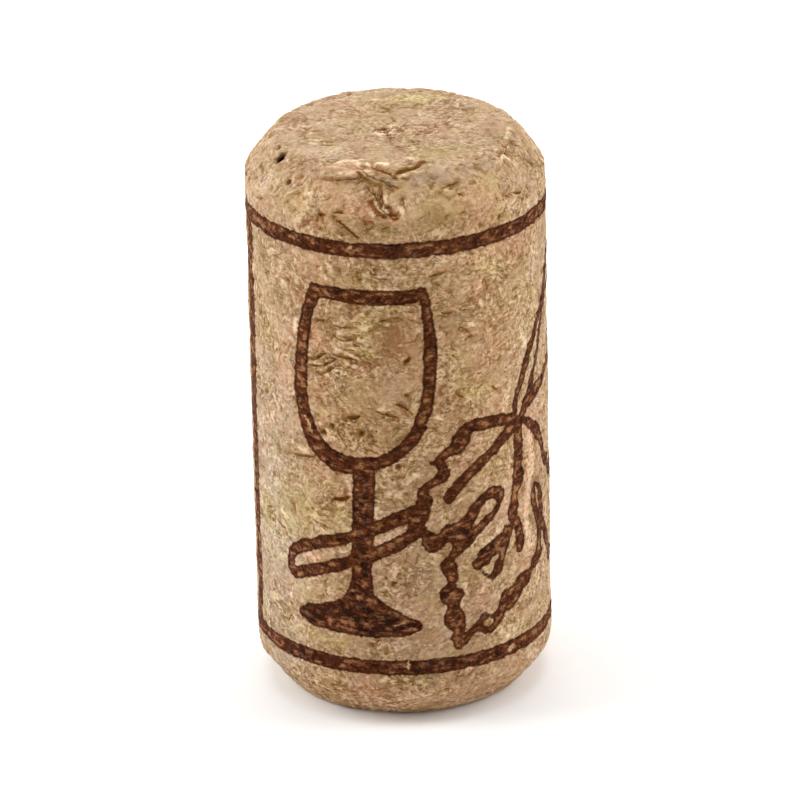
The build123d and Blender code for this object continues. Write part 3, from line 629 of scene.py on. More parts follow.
        (.65, .12, [(4.06, -9.08, 42.98), (4.32, -8.92, 43.03), (4.58, -8.7, 43.13)]),
        (.4, .1, [(3.41, -9.02, 43.36), (3.67, -9.05, 43.21), (3.99, -9.05, 43.05)]),
        (.42, .12, [(3.03, -9.69, 42.71), (3.29, -9.61, 42.7), (3.46, -9.71, 42.51)]),
        (.42, .1, [(3.56, -9.63, 42.57), (3.75, -9.66, 42.44), (4.01, -9.66, 42.32), (4.28, -9.46, 42.41), (4.45, -9.3, 42.51)]),
        (.3, .13, [(4.82, -9.04, 42.59), (4.89, -9.27, 42.29)]),
        (.5, .13, [(5.46, -8.33, 42.96), (5.83, -8.08, 42.95)]),
        (.4, .23, [(-.96, 4.67, 44), (-.41, 4.23, 44), (-.15, 3.86, 44)]), (.25, .13, [(-11.1, 36.56)]),
        (.32, .15, [(-8.97, 36.7), (-8.78, 36.28)]), (.25, .19, [(-7.78, 36.46)]),
        (.3, .15, [(-8.3, 34.17), (-8.14, 34.47)]), (.22, .15, [(-9.99, 32.15)]), (.22, .15, [(-10.9, 30.01)]),
        (.22, .19, [(-11.63, 22.41), (-10.63, 21.95)]), (.38, .15, [(-9.87, 21.19), (-9.76, 20.9)]),
        (.28, .15, [(-10.53, 19.87), (-10.29, 19.71)]), (.28, .1, [(-2.15, 36.35), (-1.41, 36.44), (-.68, 36.31)]),
        (.5, .12, [(2.45, 36.57), (2.75, 36.62), (3.1, 36.75), (3.4, 36.8)]),
        (.45, .1, [(-2.16, 32.27), (-1.86, 32.49), (-1.49, 32.74), (-1.04, 32.81)]),
        (.45, .1, [(-3.05, 31.39), (-2.64, 31.17), (-2.27, 30.97)]), (.2, .38, [(-3.03, 30.5), (-2.47, 30.42)]),
        (.38, .13, [(-2.05, 28.85), (-1.95, 28.54)]), (.32, .13, [(8.48, 35.89), (7.93, 36.21)]),
        (.25, .12, [(6.89, 35.94)]), (.22, .15, [(5.02, 34.67)]),
        (.38, .15, [(5.13, 33.46), (5.54, 33.21), (5.96, 33)]), (.32, .13, [(9.69, 31.13), (9.93, 31.15)]),
        (.45, .12, [(-.16, 19.87), (.05, 19.58)]), (.28, .31, [(-6.51, 16.96)]), (.25, .17, [(-5.66, 17.84)]),
        (.3, .15, [(-13.56, 16.84), (-12.62, 16.52)]), (.35, .35, [(-13.96, 14.74), (-12.95, 14.33)]),
        (.22, .38, [(-9.99, 8.55)]), (.25, .13, [(-1.27, 11.15)]), (.32, .12, [(-6.6, 2.94), (-5.93, 3.2)]),
        (.55, .13, [(-.59, 3.93), (-.33, 3.72), (.04, 3.59), (.42, 3.7), (.65, 4.05)]),
        (.42, .12, [(2.99, 2.96), (3.31, 3.1)]), (.3, .31, [(5.79, -8.86, 1.85), (6.55, -8.41, 1.94)]),
        (.3, .31, [(5.44, 10.88), (5.43, 10.06)]),
    ],
    "pale": [
        (.5, .15, [(-8.03, -4.83, 43.72)]), (.6, .17, [(-6.31, -8.3, 42.36)]),
        (.4, .1, [(-5.42, -6.58, 44), (-5.39, -7.65, 43.74)]),
        (.35, .12, [(-5.44, -7.42, 43.94), (-5.43, -7.72, 43.63)]),
        (.95, .12, [(-2.54, -7.73, 44), (-2.21, -7.95, 44)]), (.9, .12, [(-2.71, -6.54, 44), (-2.64, -6.84, 44)]),
        (.8, .1, [(-2.02, -6.58, 44), (-1.95, -6.88, 44)]), (.6, .1, [(-1.44, -6.81, 44)]),
        (1, .15, [(-1.11, -6.64, 44), (-.82, -6.7, 44), (-.56, -6.96, 44)]),
        (.4, .13, [(-1.88, -7.87, 44), (-1.67, -8.56, 44)]), (.5, .12, [(.19, -9.06, 44), (.77, -9, 44)]),
        (.55, .12, [(1.4, -8.25, 44), (1.5, -8.45, 44)]), (.35, .15, [(1.16, -5.98, 44), (1.53, -5.61, 44)]),
        (.3, .13, [(.24, -6.91, 44), (.97, -6.66, 44)]), (.9, .13, [(-1.44, -10.3, 42.39), (-1.39, -10.54, 42.09)]),
        (.8, .12, [(-1.8, -10.75, 41.76), (-1.66, -10.88, 41.61)]),
        (.9, .12, [(-.83, -10.18, 42.64), (-.73, -10.49, 42.25)]),
        (.95, .12, [(-1.07, -10.71, 41.92), (-.67, -10.84, 41.81)]),
        (.7, .15, [(.32, -10.65, 42.06), (.49, -10.84, 41.82)]), (.85, .12, [(.73, -10.34, 42.43)]),
        (.55, .15, [(-7.75, 40.34)]), (.35, .15, [(-8.05, 39.91)]),
        (.35, .1, [(-6.13, -9.07, 41.69), (-5.95, -9.49, 41.36)]),
        (.35, .12, [(3.66, -9.37, 42.83), (4.02, -9.36, 42.67)]), (.3, .12, [(5.03, -9.33, 42.14)]),
        (.4, .19, [(6.41, -4.9, 44)]), (.38, .17, [(7.65, -5.66, 43.53), (8.03, -5.25, 43.43)]),
        (.65, .1, [(8.34, -3.83, 43.97), (8.61, -3.21, 43.95)]),
        (.85, .1, [(8.05, -4.97, 43.6), (8.21, -4.6, 43.66), (8.42, -4.64, 43.4)]),
        (.3, .15, [(7.7, -4.38, 44), (7.49, -3.97, 44)]),
        (.5, .17, [(8.57, .06, 44), (8.43, -1.23, 44), (8.31, -1.93, 44)]),
        (.35, .15, [(8.84, -6.31, 41.8), (8.79, -6.86, 41.43)]), (.3, .15, [(9.92, -5.23, 41.34)]),
        (.75, .15, [(-1.09, -.83, 44), (-.78, -.65, 44)]), (.55, .1, [(-.25, 1.03, 44), (.12, .96, 44)]),
        (.4, .1, [(-.17, -.43, 44)]), (.4, .17, [(1.19, -3.61, 44), (1.44, -4.02, 44)]),
        (.4, .15, [(-1.2, -2.92, 44)]), (.4, .12, [(4.49, 1.51, 44)]), (.4, .12, [(4.4, .11, 44)]),
        (.42, .12, [(3.11, .03, 44)]), (.5, .12, [(3.22, -2.63, 44)]), (.42, .17, [(3.79, -3.61, 44)]),
        (.3, .12, [(2.45, .42, 44)]), (.3, .12, [(-3.03, -1.57, 44)]),
        (.5, .12, [(-6.72, 1.16, 44), (-6.42, 1.14, 44)]), (.4, .1, [(-6.42, -.57, 44), (-6.16, -.08, 44)]),
        (.3, .12, [(-6.89, -1.79, 44)]), (.42, .12, [(-1.32, 7, 44)]), (.4, .19, [(-11.01, 37.11), (-10.55, 37.34)]),
        (.5, .17, [(-9.41, 36.66)]), (.42, .17, [(-9.69, 35.21), (-9.65, 34.72)]), (.3, .15, [(-8.24, 37.1)]),
        (.65, .15, [(-8.41, 32.29), (-8.48, 31.87), (-8.55, 31.37)]), (.5, .15, [(-8.99, 30.61), (-8.73, 30.6)]),
        (.35, .13, [(-10.01, 30.34)]), (.4, .12, [(-9.82, 29.2), (-9.43, 29.04), (-9, 29.05)]),
        (.5, .15, [(-13.91, 20.71)]), (.5, .19, [(-8.27, 22), (-8.03, 21.74), (-7.65, 21.75)]),
        (.5, .12, [(-5.5, 37.58), (-5.22, 37.23), (-5.1, 36.97)]),
        (.5, .12, [(-5.93, 36.95), (-5.77, 36.54), (-5.57, 36.3)]),
        (.45, .1, [(-1.4, 36.93), (-.67, 36.83), (.06, 36.76), (.61, 36.64)]),
        (.35, .1, [(-2.14, 36.7), (-1.4, 36.64)]), (.45, .13, [(2.95, 36.31)]), (.35, .15, [(-.58, 37.46)]),
        (.35, .12, [(-6.65, 32.92)]), (.38, .1, [(-4.93, 32.72), (-4.33, 32.75)]),
        (.55, .13, [(-4.63, 32.06), (-4.35, 32.06)]), (.6, .17, [(-2.79, 32.63), (-2.42, 32.57)]),
        (.7, .1, [(-1.04, 32.97), (-.78, 33.05)]), (.35, .15, [(-5.36, 32.1)]),
        (.42, .1, [(-5.61, 30.4), (-5.2, 30.29), (-4.79, 30.24)]),
        (.5, .1, [(-4.98, 30.71), (-4.38, 30.6), (-3.8, 30.42), (-3.42, 30.14)]),
        (.48, .1, [(-7.27, 29.11), (-6.72, 29.23), (-6.28, 29.25)]),
        (.52, .08, [(-6.3, 28.61), (-5.86, 28.97), (-5.43, 29.29), (-4.89, 29.46)]),
        (.48, .08, [(-5.24, 28.69), (-4.83, 28.96), (-4.23, 28.88)]), (.65, .13, [(-3.44, 29.42), (-3.24, 29.54)]),
        (.38, .12, [(-2.69, 28.97), (-2.87, 29.24)]), (.55, .12, [(.33, 30.15), (.48, 30.23)]),
        (.35, .12, [(.32, 29.32)]), (.3, .12, [(.95, 29.57)]),
        (.5, .1, [(-1.63, 26.09), (-1.07, 26.07), (-.7, 26.03)]), (.35, .12, [(-1.09, 25.41)]),
        (.42, .1, [(-5.3, 24.79)]), (.5, .12, [(-5.87, 23.91), (-5.59, 23.61), (-5.18, 23.32)]),
        (.42, .1, [(-6.16, 23.01), (-5.81, 23.24)]), (.42, .12, [(-4.04, 23.82)]), (.35, .12, [(-.46, 23.72)]),
        (.35, .13, [(5.56, 37.12)]), (.35, .12, [(6.24, 36.49)]), (.5, .15, [(6.32, 33.94), (6.58, 33.64)]),
        (.55, .12, [(6.08, 32.77)]), (.55, .12, [(7.66, 32.21)]), (.6, .15, [(5.4, 32.39), (5.73, 32.23)]),
        (.35, .12, [(4.39, 32.77)]), (.42, .12, [(4.89, 31.64)]), (.48, .1, [(5.72, 31.5), (6.02, 31.59)]),
        (.65, .19, [(10.78, 29.75), (11.24, 29.17), (11.03, 28.97)]), (.38, .19, [(9.25, 29.07), (9.76, 28.78)]),
        (.38, .23, [(6.99, 28.75)]), (.38, .13, [(7.54, 28.31)]), (.55, .13, [(4.19, 28.46)]),
        (.35, .12, [(6.71, 28.1), (6.3, 28.05)]), (.55, .12, [(7.9, 26.61)]), (.65, .12, [(5.21, 26.38)]),
        (.5, .15, [(8.52, 24.6)]), (.45, .12, [(10.19, 26.54), (10.19, 26.14)]),
        (.65, .19, [(2.73, 25.22), (3, 25.28)]), (.35, .12, [(5.74, 25.73)]),
        (.5, .12, [(-.61, 21.47), (-.43, 21.18)]), (.65, .12, [(.85, 20.62), (1.23, 20.77)]),
        (.42, .12, [(-.08, 20.25), (.21, 20.04), (.59, 20.31)]), (.35, .15, [(1.63, 22.38), (2.12, 22.73)]),
        (.55, .17, [(-2.03, 17.9), (-2, 17.29)]), (.5, .13, [(-1.44, 17.28)]),
        (.5, .12, [(-5.11, 18.04), (-4.5, 18.1)]), (.45, .1, [(-6.18, 20.78), (-5.76, 20.52)]),
        (.35, .19, [(-12.94, 17.21), (-12.08, 17.22)]), (.65, .17, [(-10.45, 16.1), (-9.98, 15.77)]),
        (.45, .15, [(-10.95, 12.43), (-10.57, 12.03)]), (.65, .19, [(-9.66, 9.41)]),
        (.42, .12, [(-5.35, 12.05), (-4.94, 11.96)]), (.35, .13, [(-6.02, 10.89)]),
        (.3, .12, [(-.97, 12.84), (-.6, 12.95)]), (.35, .12, [(-1.68, 11.38), (-1.48, 11.6)]),
        (.35, .19, [(1.06, 12.05)]), (.35, .19, [(.52, 12.88)]), (.5, .1, [(-2.72, 7.11), (-2.34, 7.02)]),
        (.55, .1, [(-2.85, 6.23), (-2.82, 5.82)]), (.35, .1, [(-2.32, 6.23)]),
        (.38, .12, [(-4.6, 5.77), (-4.2, 5.75)]), (.5, .12, [(2.78, 6.5)]), (.35, .12, [(-9.33, 3.2), (-9.07, 2.83)]),
        (.42, .1, [(-1.84, 3.73), (-1.53, 3.89), (-1.15, 3.86), (-.9, 3.56)]), (.5, .1, [(-.22, 3.91), (.08, 3.84)]),
        (.42, .12, [(-.05, -11.12, 2.53)]), (.42, .19, [(8.82, 6.58), (9.37, 6.25)]), (.85, .15, [(8.54, 5.92)]),
        (.42, .13, [(8.09, 15.47), (7.69, 14.99), (6.96, 14.3)]), (.6, .12, [(6.42, 12.19), (6.6, 11.94)]),
        (.38, .23, [(4.66, 11.47), (4.93, 10.59)]), (.5, .12, [(4.03, 21.7), (4.51, 21.85)]),
        (.7, .15, [(7.55, 4.46)]), (.4, .13, [(6.3, 35.1), (6.65, 35.21)]), (.45, .12, [(3.9, 36.49)]),
        (.4, .12, [(8.55, 34.28)]), (.4, .12, [(9.54, 32.17)]), (.45, .12, [(6.95, 34.26)]),
        (.45, .1, [(4.81, 34.15)]), (.45, .1, [(7.13, 31.43), (7.41, 31.43)]), (.4, .12, [(4.46, 30.21)]),
        (.4, .12, [(9.34, 27.92)]), (.45, .1, [(3.81, 27.28)]), (.4, .1, [(6.2, 27.23)]), (.45, .1, [(6.94, 25.83)]),
        (.5, .1, [(9.12, 25.41)]), (.4, .12, [(-4.94, 36.88)]), (.4, .12, [(-3.62, 38.08)]),
        (.4, .12, [(1.28, 37.43)]), (.45, .12, [(-10.76, 35.61)]), (.4, .13, [(-10.66, 32.17)]),
        (.4, .13, [(-11.84, 29.4)]), (.4, .13, [(-10.22, 26.98)]), (.45, .12, [(-12.12, 23.32)]),
        (.45, .12, [(-8.99, 22.32)]), (.45, .12, [(-12.05, 19.12)]), (.4, .12, [(-7.51, 20.22)]),
        (.42, .12, [(-8.34, 18.73)]), (.42, .12, [(-9.51, 17.36)]), (.42, .12, [(-7.85, 15.61)]),
        (.4, .12, [(-12.32, 13.14)]), (.4, .12, [(-12.17, 10.14)]), (.42, .12, [(-7.87, 10.5)]),
        (.42, .12, [(-11.71, 7.33)]), (.42, .12, [(-6.37, 6.51)]), (.4, .12, [(-.64, 6.88)]),
        (.42, .12, [(.93, 6.99)]), (.42, .12, [(-1.37, 13.65)]), (.4, .12, [(-.38, 10.87)]),
        (.42, .12, [(1.58, 13.49)]), (.4, .12, [(2.09, 10.89)]), (.42, .12, [(-4.54, 3.3)]),
        (.4, .12, [(-2.98, 3.93)]), (.42, .12, [(1.35, 3.27)]), (.4, .12, [(-7.81, 38.55)]),
        (.45, .12, [(5.41, 19.06)]), (.4, .12, [(2.97, 17.2)]), (.42, .12, [(5.26, 12.77)]),
        (.4, .12, [(6.12, 10.18)]), (.42, .12, [(7.31, 10.13)]), (.42, .12, [(8.22, 11.04)]),
    ],
    "pink": [
        # these first five pink marks, on the face just above that ledge, are partly painted highlight where its rim
        # catches the light
        (.5, .21, [(-4.87, -6.32, 44), (-4.14, -6.36, 44)]),
        (.75, .23, [(-3.96, -6.18, 44), (-3.41, -6.01, 44), (-2.86, -6.14, 44)]),
        (.45, .15, [(-4.87, -7.11, 44), (-4.14, -6.95, 44)]),
        (.55, .15, [(-3.77, -6.58, 44), (-3.04, -6.67, 44), (-2.59, -6.99, 44)]),
        (.55, .13, [(-4.18, -8.24, 43.89), (-3.6, -8.46, 43.94), (-2.87, -8.49, 44)]),
        (.5, .19, [(-6.84, 40.11), (-6.31, 40.1)]), (.4, .23, [(-8.46, 40.71), (-7.73, 40.73)]),
        (.35, .25, [(-3.37, -10.12, 42.05), (-3.25, -10.35, 41.82)]), (.28, .23, [(-3.35, 41.21), (-3.16, 41.07)]),
        (.3, .38, [(6.3, 40.22), (7.2, 40.08)]), (.35, .19, [(-10.8, 25.13), (-10.18, 25.14)]),
        (.3, .19, [(-9.29, 25.83), (-9.19, 25.58)]), (.42, .23, [(-12.97, 20.68), (-12.11, 20.68)]),
        (.3, .23, [(-2.87, 37.44), (-2.49, 37.59)]), (.6, .12, [(-1.42, 35.87), (-.69, 35.8), (-.07, 35.76)]),
        (.4, .27, [(-6.56, 31.74), (-6.22, 31.34)]), (.32, .31, [(-2.34, 27.68), (-2.16, 27.37)]),
        (.3, .19, [(-4.02, 24.5), (-3.75, 24.5)]), (.3, .19, [(5.12, 37.77), (5.61, 37.54)]),
        (.28, .58, [(7, 29.54), (6.12, 30.05)]), (.38, .15, [(-1.06, 17.73), (-.31, 17.94), (.43, 18.02)]),
        (.55, .27, [(-1.86, 15.18), (-1.48, 15.38), (-.91, 15.7), (-.35, 16.15)]),
        (.48, .19, [(-8.18, 13.01), (-7.21, 13.3), (-6.29, 13.72), (-5.21, 14.09), (-4.6, 14.15)]),
        (.6, .17, [(-4.12, 20.53), (-3.98, 19.95), (-3.96, 18.93)]), (.3, .35, [(-6.57, 11.81), (-5.9, 12.19)]),
        (.42, .38, [(-.1, 9.64), (.64, 9.32)]), (.5, .15, [(4.82, 4.2), (5.24, 4.17)]),
        (.6, .46, [(11.64, 21.34), (11.84, 19.84), (11.96, 18.16), (11.16, 16.43), (11.11, 14.39), (11.44, 12.62)]),
        (.4, .31, [(9.09, 20.85), (8.79, 19.33), (8.76, 17.71), (8.74, 16.49)]),
        (.4, .31, [(6.08, 15.64), (5.41, 14.17), (4.56, 12.72)]), (.35, .38, [(9.77, 12.02), (9.18, 11)]),
        (.35, .38, [(5.99, 22.57), (5.12, 21.56), (3.89, 20.39)]),
        (.35, .38, [(3.12, 31.94), (3.17, 30.34), (3.06, 28.36)]),
        (.35, .31, [(2.66, 38.01), (3.81, 37.92), (5, 37.87)]), (.3, .31, [(-4.8, 37.61), (-3.63, 37.57)]),
        (.4, .23, [(5.36, 35.11), (4.55, 35.27)]),
    ],
    "gold": [
        (.5, .13, [(-.55, -9.38, 43.68)]),
        (.5, .17, [(-1.7, 6.1, 44), (-1.14, 6.22, 44), (-.39, 6.38, 44), (.35, 6.23, 44), (.91, 6.3, 44), (1.66, 6.31, 44), (2.4, 6.06, 44)]),
        (.3, .38, [(.36, 6.85, 44), (1.48, 6.99, 44), (2.59, 6.61, 44)]), (.5, .12, [(-1.66, 33.29), (-1.37, 33.18)]),
        (.5, .13, [(-1.76, 32.17), (-1.49, 32.34)]), (.5, .12, [(-3.08, 31.61), (-2.74, 31.6), (-2.44, 31.42)]),
        (.65, .13, [(-2.56, 31.13), (-2.19, 30.96), (-1.9, 30.7)]), (.28, .46, [(-1.46, 33.97), (-.36, 33.88)]),
        (.45, .13, [(6.81, 36.59), (6.95, 36.79)]), (.5, .13, [(7.84, 36.59), (8.33, 36.33), (8.69, 36.14)]),
        (.42, .12, [(8.86, 36.68), (9.28, 36.31)]), (.5, .19, [(10.02, 32.73), (9.44, 33.04)]),
        (.5, .15, [(12.75, 31.61), (12.3, 31.38)]), (.42, .19, [(3.46, 24.69), (2.99, 24.36)]),
        (.3, .38, [(-5.36, 16.47), (-4.72, 17.19)]), (.35, .38, [(6.67, 36.19), (7.83, 35.88)]),
        (.35, .35, [(5.75, 33.24), (7.06, 32.72)]), (.3, .42, [(4.81, 27.26), (6.5, 26.67), (7.91, 26.88)]),
    ],
    "print_dark": [
        (.8, .12, [(.56, 5.28)]), (.9, .19, [(-.51, 39.18)]), (.7, .17, [(.12, 39.49)]), (.6, .19, [(-7.81, 38.33)]),
        (.7, .17, [(-10.19, 38.56)]), (.8, .17, [(-4.78, 35.36)]), (.8, .15, [(-.16, 34.57)]),
        (.6, .15, [(1.12, 34.68)]), (.5, .15, [(-8, 32.72), (-7.07, 32.63)]), (.6, .17, [(-7.36, 30.64)]),
        (.5, .15, [(-7.86, 29.76)]), (1, .15, [(-7.36, 24.83)]), (1, .13, [(-6.95, 23.9)]),
        (.6, .15, [(-7.37, 23.09)]), (1.2, .19, [(1.22, 24.2)]), (1, .19, [(-.29, 22.82)]),
        (.8, .19, [(-5.62, 22.43)]), (.8, .17, [(-4.88, 22.12)]), (.9, .15, [(-5.77, 21.51)]),
        (.8, .17, [(-2.99, 18.23)]), (.6, .15, [(-3.11, 18.87)]), (.7, .15, [(-2.16, 22.02)]),
        (.7, .15, [(-8.96, 13.15)]), (.5, .13, [(-7.18, 14.12)]), (.6, .13, [(-5.02, 15.2)]),
        (.7, .12, [(-1.62, 8.71), (-.49, 8.94)]), (.5, .15, [(.99, 8.35)]), (.8, .19, [(3.86, 23.18)]),
        (.8, .17, [(5.71, 23.81)]), (.5, .13, [(2.95, 13.53)]), (.6, .13, [(2.89, 12.39)]), (.6, .13, [(2.86, 10.8)]),
        (.6, .13, [(4.27, 10.56)]), (.9, .13, [(3.66, 9.48)]), (.6, .13, [(3.05, 8.3)]), (.6, .13, [(7.03, 18.08)]),
        (.6, .13, [(6.13, 18)]), (.7, .15, [(6.36, 13.61)]), (.6, .13, [(7.09, 13.61)]), (.7, .17, [(.92, 4.55)]),
        (.8, .19, [(1.69, 5.2)]), (.7, .1, [(-1.63, 8.17), (-1.07, 8.07), (-.13, 8.19), (.81, 8.41)]),
        (.6, .15, [(-4.32, 9.27), (-3.54, 8.55), (-2.97, 7.79)]),
        (.5, .13, [(-3.3, 10.23), (-2.55, 9.48), (-1.62, 8.79)]),
        (.5, .13, [(-8.33, 8.68), (-8.1, 8.12), (-7.38, 7.79)]), (.5, .12, [(-3.15, 13.53), (-2.99, 12.31)]),
        (.45, .12, [(-3.62, 18.37), (-3.62, 16.74)]), (.5, .12, [(2.13, 12.69), (2.31, 12.06)]),
        (.45, .13, [(3.06, 11.34), (3.25, 10.7)]), (.5, .13, [(6.28, 14.08), (6.72, 13.43)]),
    ],
    "print_pale": [
        (.62, .03, [(-.70, 8.06), (.11, 8.18), (.80, 8.02)]),
        (1, .11, [(.24, 5.21), (.18, 4.9)]), (1, .12, [(.38, 5.68), (.7, 5.62)]),
        (.95, .15, [(9.06, 4.93), (8.78, 4.72)]), (.8, .12, [(-3.4, 39.05), (-3.6, 38.87)]),
        (.3, .15, [(-6.88, 38.8)]), (.35, .1, [(1.75, 39.04), (3.06, 38.98)]),
        (.3, .1, [(2.13, 39.48), (3.07, 39.41)]), (.3, .17, [(-7.55, 32.11)]), (.35, .17, [(-7.81, 31.25)]),
        (.3, .15, [(-8.07, 27.98), (-8.09, 27.38)]), (.9, .09, [(-7.74, 24.65), (-7.43, 24.21), (-7.12, 23.64)]),
        (.22, .12, [(1.98, 27.29), (2.06, 25.68)]), (.75, .13, [(2.28, 33.43)]),
        (.35, .1, [(1.87, 35.33), (2.23, 34.62)]), (.75, .12, [(-3.43, 18.1)]), (.4, .12, [(-2.94, 17.53)]),
        (.35, .13, [(-8.57, 13.51), (-7.77, 13.66)]), (.7, .12, [(.18, 17.36)]), (.5, .1, [(-5.36, 8.63)]),
        (.3, .15, [(-7.85, 8.28)]), (.78, .04, [(-.72, 8.42), (-.31, 8.53), (.06, 8.7)]),
        (.4, .1, [(-1.07, 7.9), (-.14, 8.03), (.61, 8.17)]), (.35, .12, [(6.02, 24.18), (6.91, 24.07)]),
        (.5, .12, [(9.89, 23.68)]), (.38, .12, [(-9.28, 4.62), (-8.73, 4.69)]),
        (.35, .12, [(-11.08, 5.54), (-10.43, 5.32)]), (.3, .12, [(-7.82, 4.72)]), (.3, .13, [(2.56, 4.89)]),
        
        (.56, .04, [(-1.64, 7.84), (-.7, 7.91), (.43, 8.14), (.99, 8.35)]), (.4, .12, [(-2.69, 10.04), (-2.08, 9.92)]),
        (.35, .1, [(-4.54, 8.49), (-3.66, 8.2)]), (.3, .15, [(-7.59, 8.77), (-6.66, 8.88)]),
        (.3, .13, [(-6.01, 8.33), (-5.16, 8.3)]), (.3, .1, [(-3.41, 10.62), (-2.8, 10.4)]),
        (.32, .12, [(-2.51, 14.81), (-2.49, 13.79)]), (.3, .1, [(-2.97, 19.65), (-2.97, 18.03)]),
        (.4, .12, [(-3.5, 13.61), (-3.32, 12.98)]), (.3, .12, [(-1.49, 14.75), (-.74, 15.05)]),
        (.5, .12, [(3.55, 12.37), (3.62, 11.95)]), (.4, .12, [(3.63, 10.51), (3.71, 10.09)]),
        (.45, .12, [(3.41, 8.69), (3.6, 8.29)]),
    ],
    "print_pink": [
        (.5, .19, [(-3.92, 35.05)]), (.25, .19, [(-1.61, 35.35), (-.34, 35.17)]),
        (.35, .13, [(-2.85, 21.61), (-2.47, 21.72)]), (.3, .13, [(-1.53, 21.77), (-.78, 22.11)]),
        (.6, .29, [(-3.96, 15.8), (-3.17, 15.98)]), (.35, .17, [(-3.66, 15.1)]),
        (.35, .13, [(-2.92, 10.27), (-2.46, 9.89), (-2.16, 9.98)]), (.3, .23, [(-5.16, 8.19), (-4.34, 8.44)]),
        (.35, .27, [(-3.99, 7.95)]), (.3, .15, [(-6.78, 7.74), (-6.24, 7.95)]), (.35, .15, [(3.37, 13.06)]),
        (.5, .13, [(3.44, 10.46)]), (.5, .13, [(3.38, 9.24)]), (.35, .15, [(3.48, 8.52)]), (.35, .13, [(7.27, 18.3)]),
        (.3, .13, [(6.33, 17.21)]), (.4, .15, [(1.3, 4.94)]),
    ],
    "print_gold": [
        (.5, .13, [(-5.36, 15.04), (-5.32, 14.64)]), (.4, .15, [(-1.45, 16.63), (-.89, 16.88)]),
        (.35, .15, [(9.94, 5.13), (11.64, 5.19)]), (.35, .23, [(-3.24, 4.74)]), (.3, .13, [(11.38, 10.08)]),
        (.3, .13, [(8.87, 9.33)]),
    ],
}
MARK_KINDS = {                        # light, dark, over the print, pinker, more olive
    "dark": (0, 1, 0, 0, 0), "red": (0, .8, 0, .8, 0), "olive": (0, .95, 0, 0, .5), "pale": (1, 0, 0, 0, 0),
    "pink": (.75, 0, 0, .6, 0), "gold": (.75, 0, 0, 0, .50), "print_dark": (0, 0, -1, 0, 0), "print_pale": (0, 0, 1, 0, 0),
    "print_pink": (0, 0, .75, .35, 0), "print_gold": (0, 0, .7, 0, .45),
}


def near_line(points):
    """For each skin point close to the line: signed offset (above is plus), how far past the ends, place along it."""
    p = np.array(points, float)
    p = smooth(p, 4) if len(p) > 2 else p
    seg = np.linalg.norm(np.diff(p, axis=0), axis=1)
    run = np.concatenate([[0], np.cumsum(seg)])
    centre = p.mean(0)
    reach = np.linalg.norm(p - centre, axis=1).max() + 1.3
    near = np.nonzero(np.linalg.norm(rest - centre, axis=1) < reach)[0]
    r, n = rest[near], normal[near]
    best = np.full(len(r), 1e3)
    off, past, at = np.zeros(len(r)), np.zeros(len(r)), np.zeros(len(r))
    for k, (a, c) in enumerate(zip(p[:-1], p[1:])):
        e = (c - a) / seg[k]
        t = (r - a) @ e
        tc = np.clip(t, 0, seg[k])
        q = r - a - tc[:, None] * e
        d = np.linalg.norm(q, axis=1)
        up = np.cross(n, e)
        up /= np.linalg.norm(up, axis=1)[:, None] + 1e-9
        win = d < best
        best[win] = d[win]
        off[win] = np.einsum("ij,ij->i", q, up)[win]
        over = np.zeros(len(r))
        if k == 0:
            over = np.maximum(over, -t)
        if k == len(p) - 2:
            over = np.maximum(over, t - seg[k])
        past[win] = over[win]
        at[win] = (run[k] + tc[win]) / run[-1]
    return near, best, off, past, at


carve = np.zeros(len(rest))
dark = np.zeros(len(rest))
# each split keeps its signed offset and half width on the skin, so that the finish draws it sharp; splits that lie
# close together go into different channels
CHANNELS = 4
split_off = np.full((CHANNELS, len(rest)), 1.0)
split_half = np.full((CHANNELS, len(rest)), -1.0)
split_near = np.full((CHANNELS, len(rest)), 1e3)
for points, (w0, w1, w2), depth in SPLITS:
    near, dist, off, past, at = near_line(points)
    half = np.where(at < .5, w0 + (w1 - w0) * at * 2, w1 + (w2 - w1) * (at * 2 - 1))
    half = half * (0.62 if depth < .17 else 0.9) - 0.55 * past - 2.0 * np.maximum(dist - 0.42, 0)
    zone = near[dist < 0.75]
    ch = next((c for c in range(CHANNELS) if (split_near[c][zone] > 0.75).all()), CHANNELS - 1)
    win = near[dist < split_near[ch][near]]
    m = dist < split_near[ch][near]
    split_off[ch][win] = off[m]
    split_half[ch][win] = half[m]
    split_near[ch][win] = dist[m]
    w = np.clip(1 - dist / (w1 + 0.24), 0, 1)
    carve[near] = np.maximum(carve[near], depth * w * w * (3 - 2 * w))
for point, half, depth, tone in PITS:
    d = np.linalg.norm(rest - np.array(point), axis=1)
    w = np.clip(1 - d / (half + 0.22), 0, 1)
    carve = np.maximum(carve, depth * w * w * (3 - 2 * w))
    dark = np.maximum(dark, tone * np.clip(1 - (d - half * 0.7) / 0.30, 0, 1.0))
ledge = np.zeros(len(rest))
for points, rise, drop in LEDGES:
    near, dist, off, past, at = near_line(points)
    ends = np.clip(np.minimum(at, 1 - at) * 5, 0, 1) * np.clip(1 - past / 0.4, 0, 1)
    above = np.clip(off / 0.36 + 0.5, 0, 1)
    ledge[near] += ends * (above * rise * np.exp(-(off / 0.9) ** 2) - (1 - above) * drop * np.exp(-(off / 0.45) ** 2))


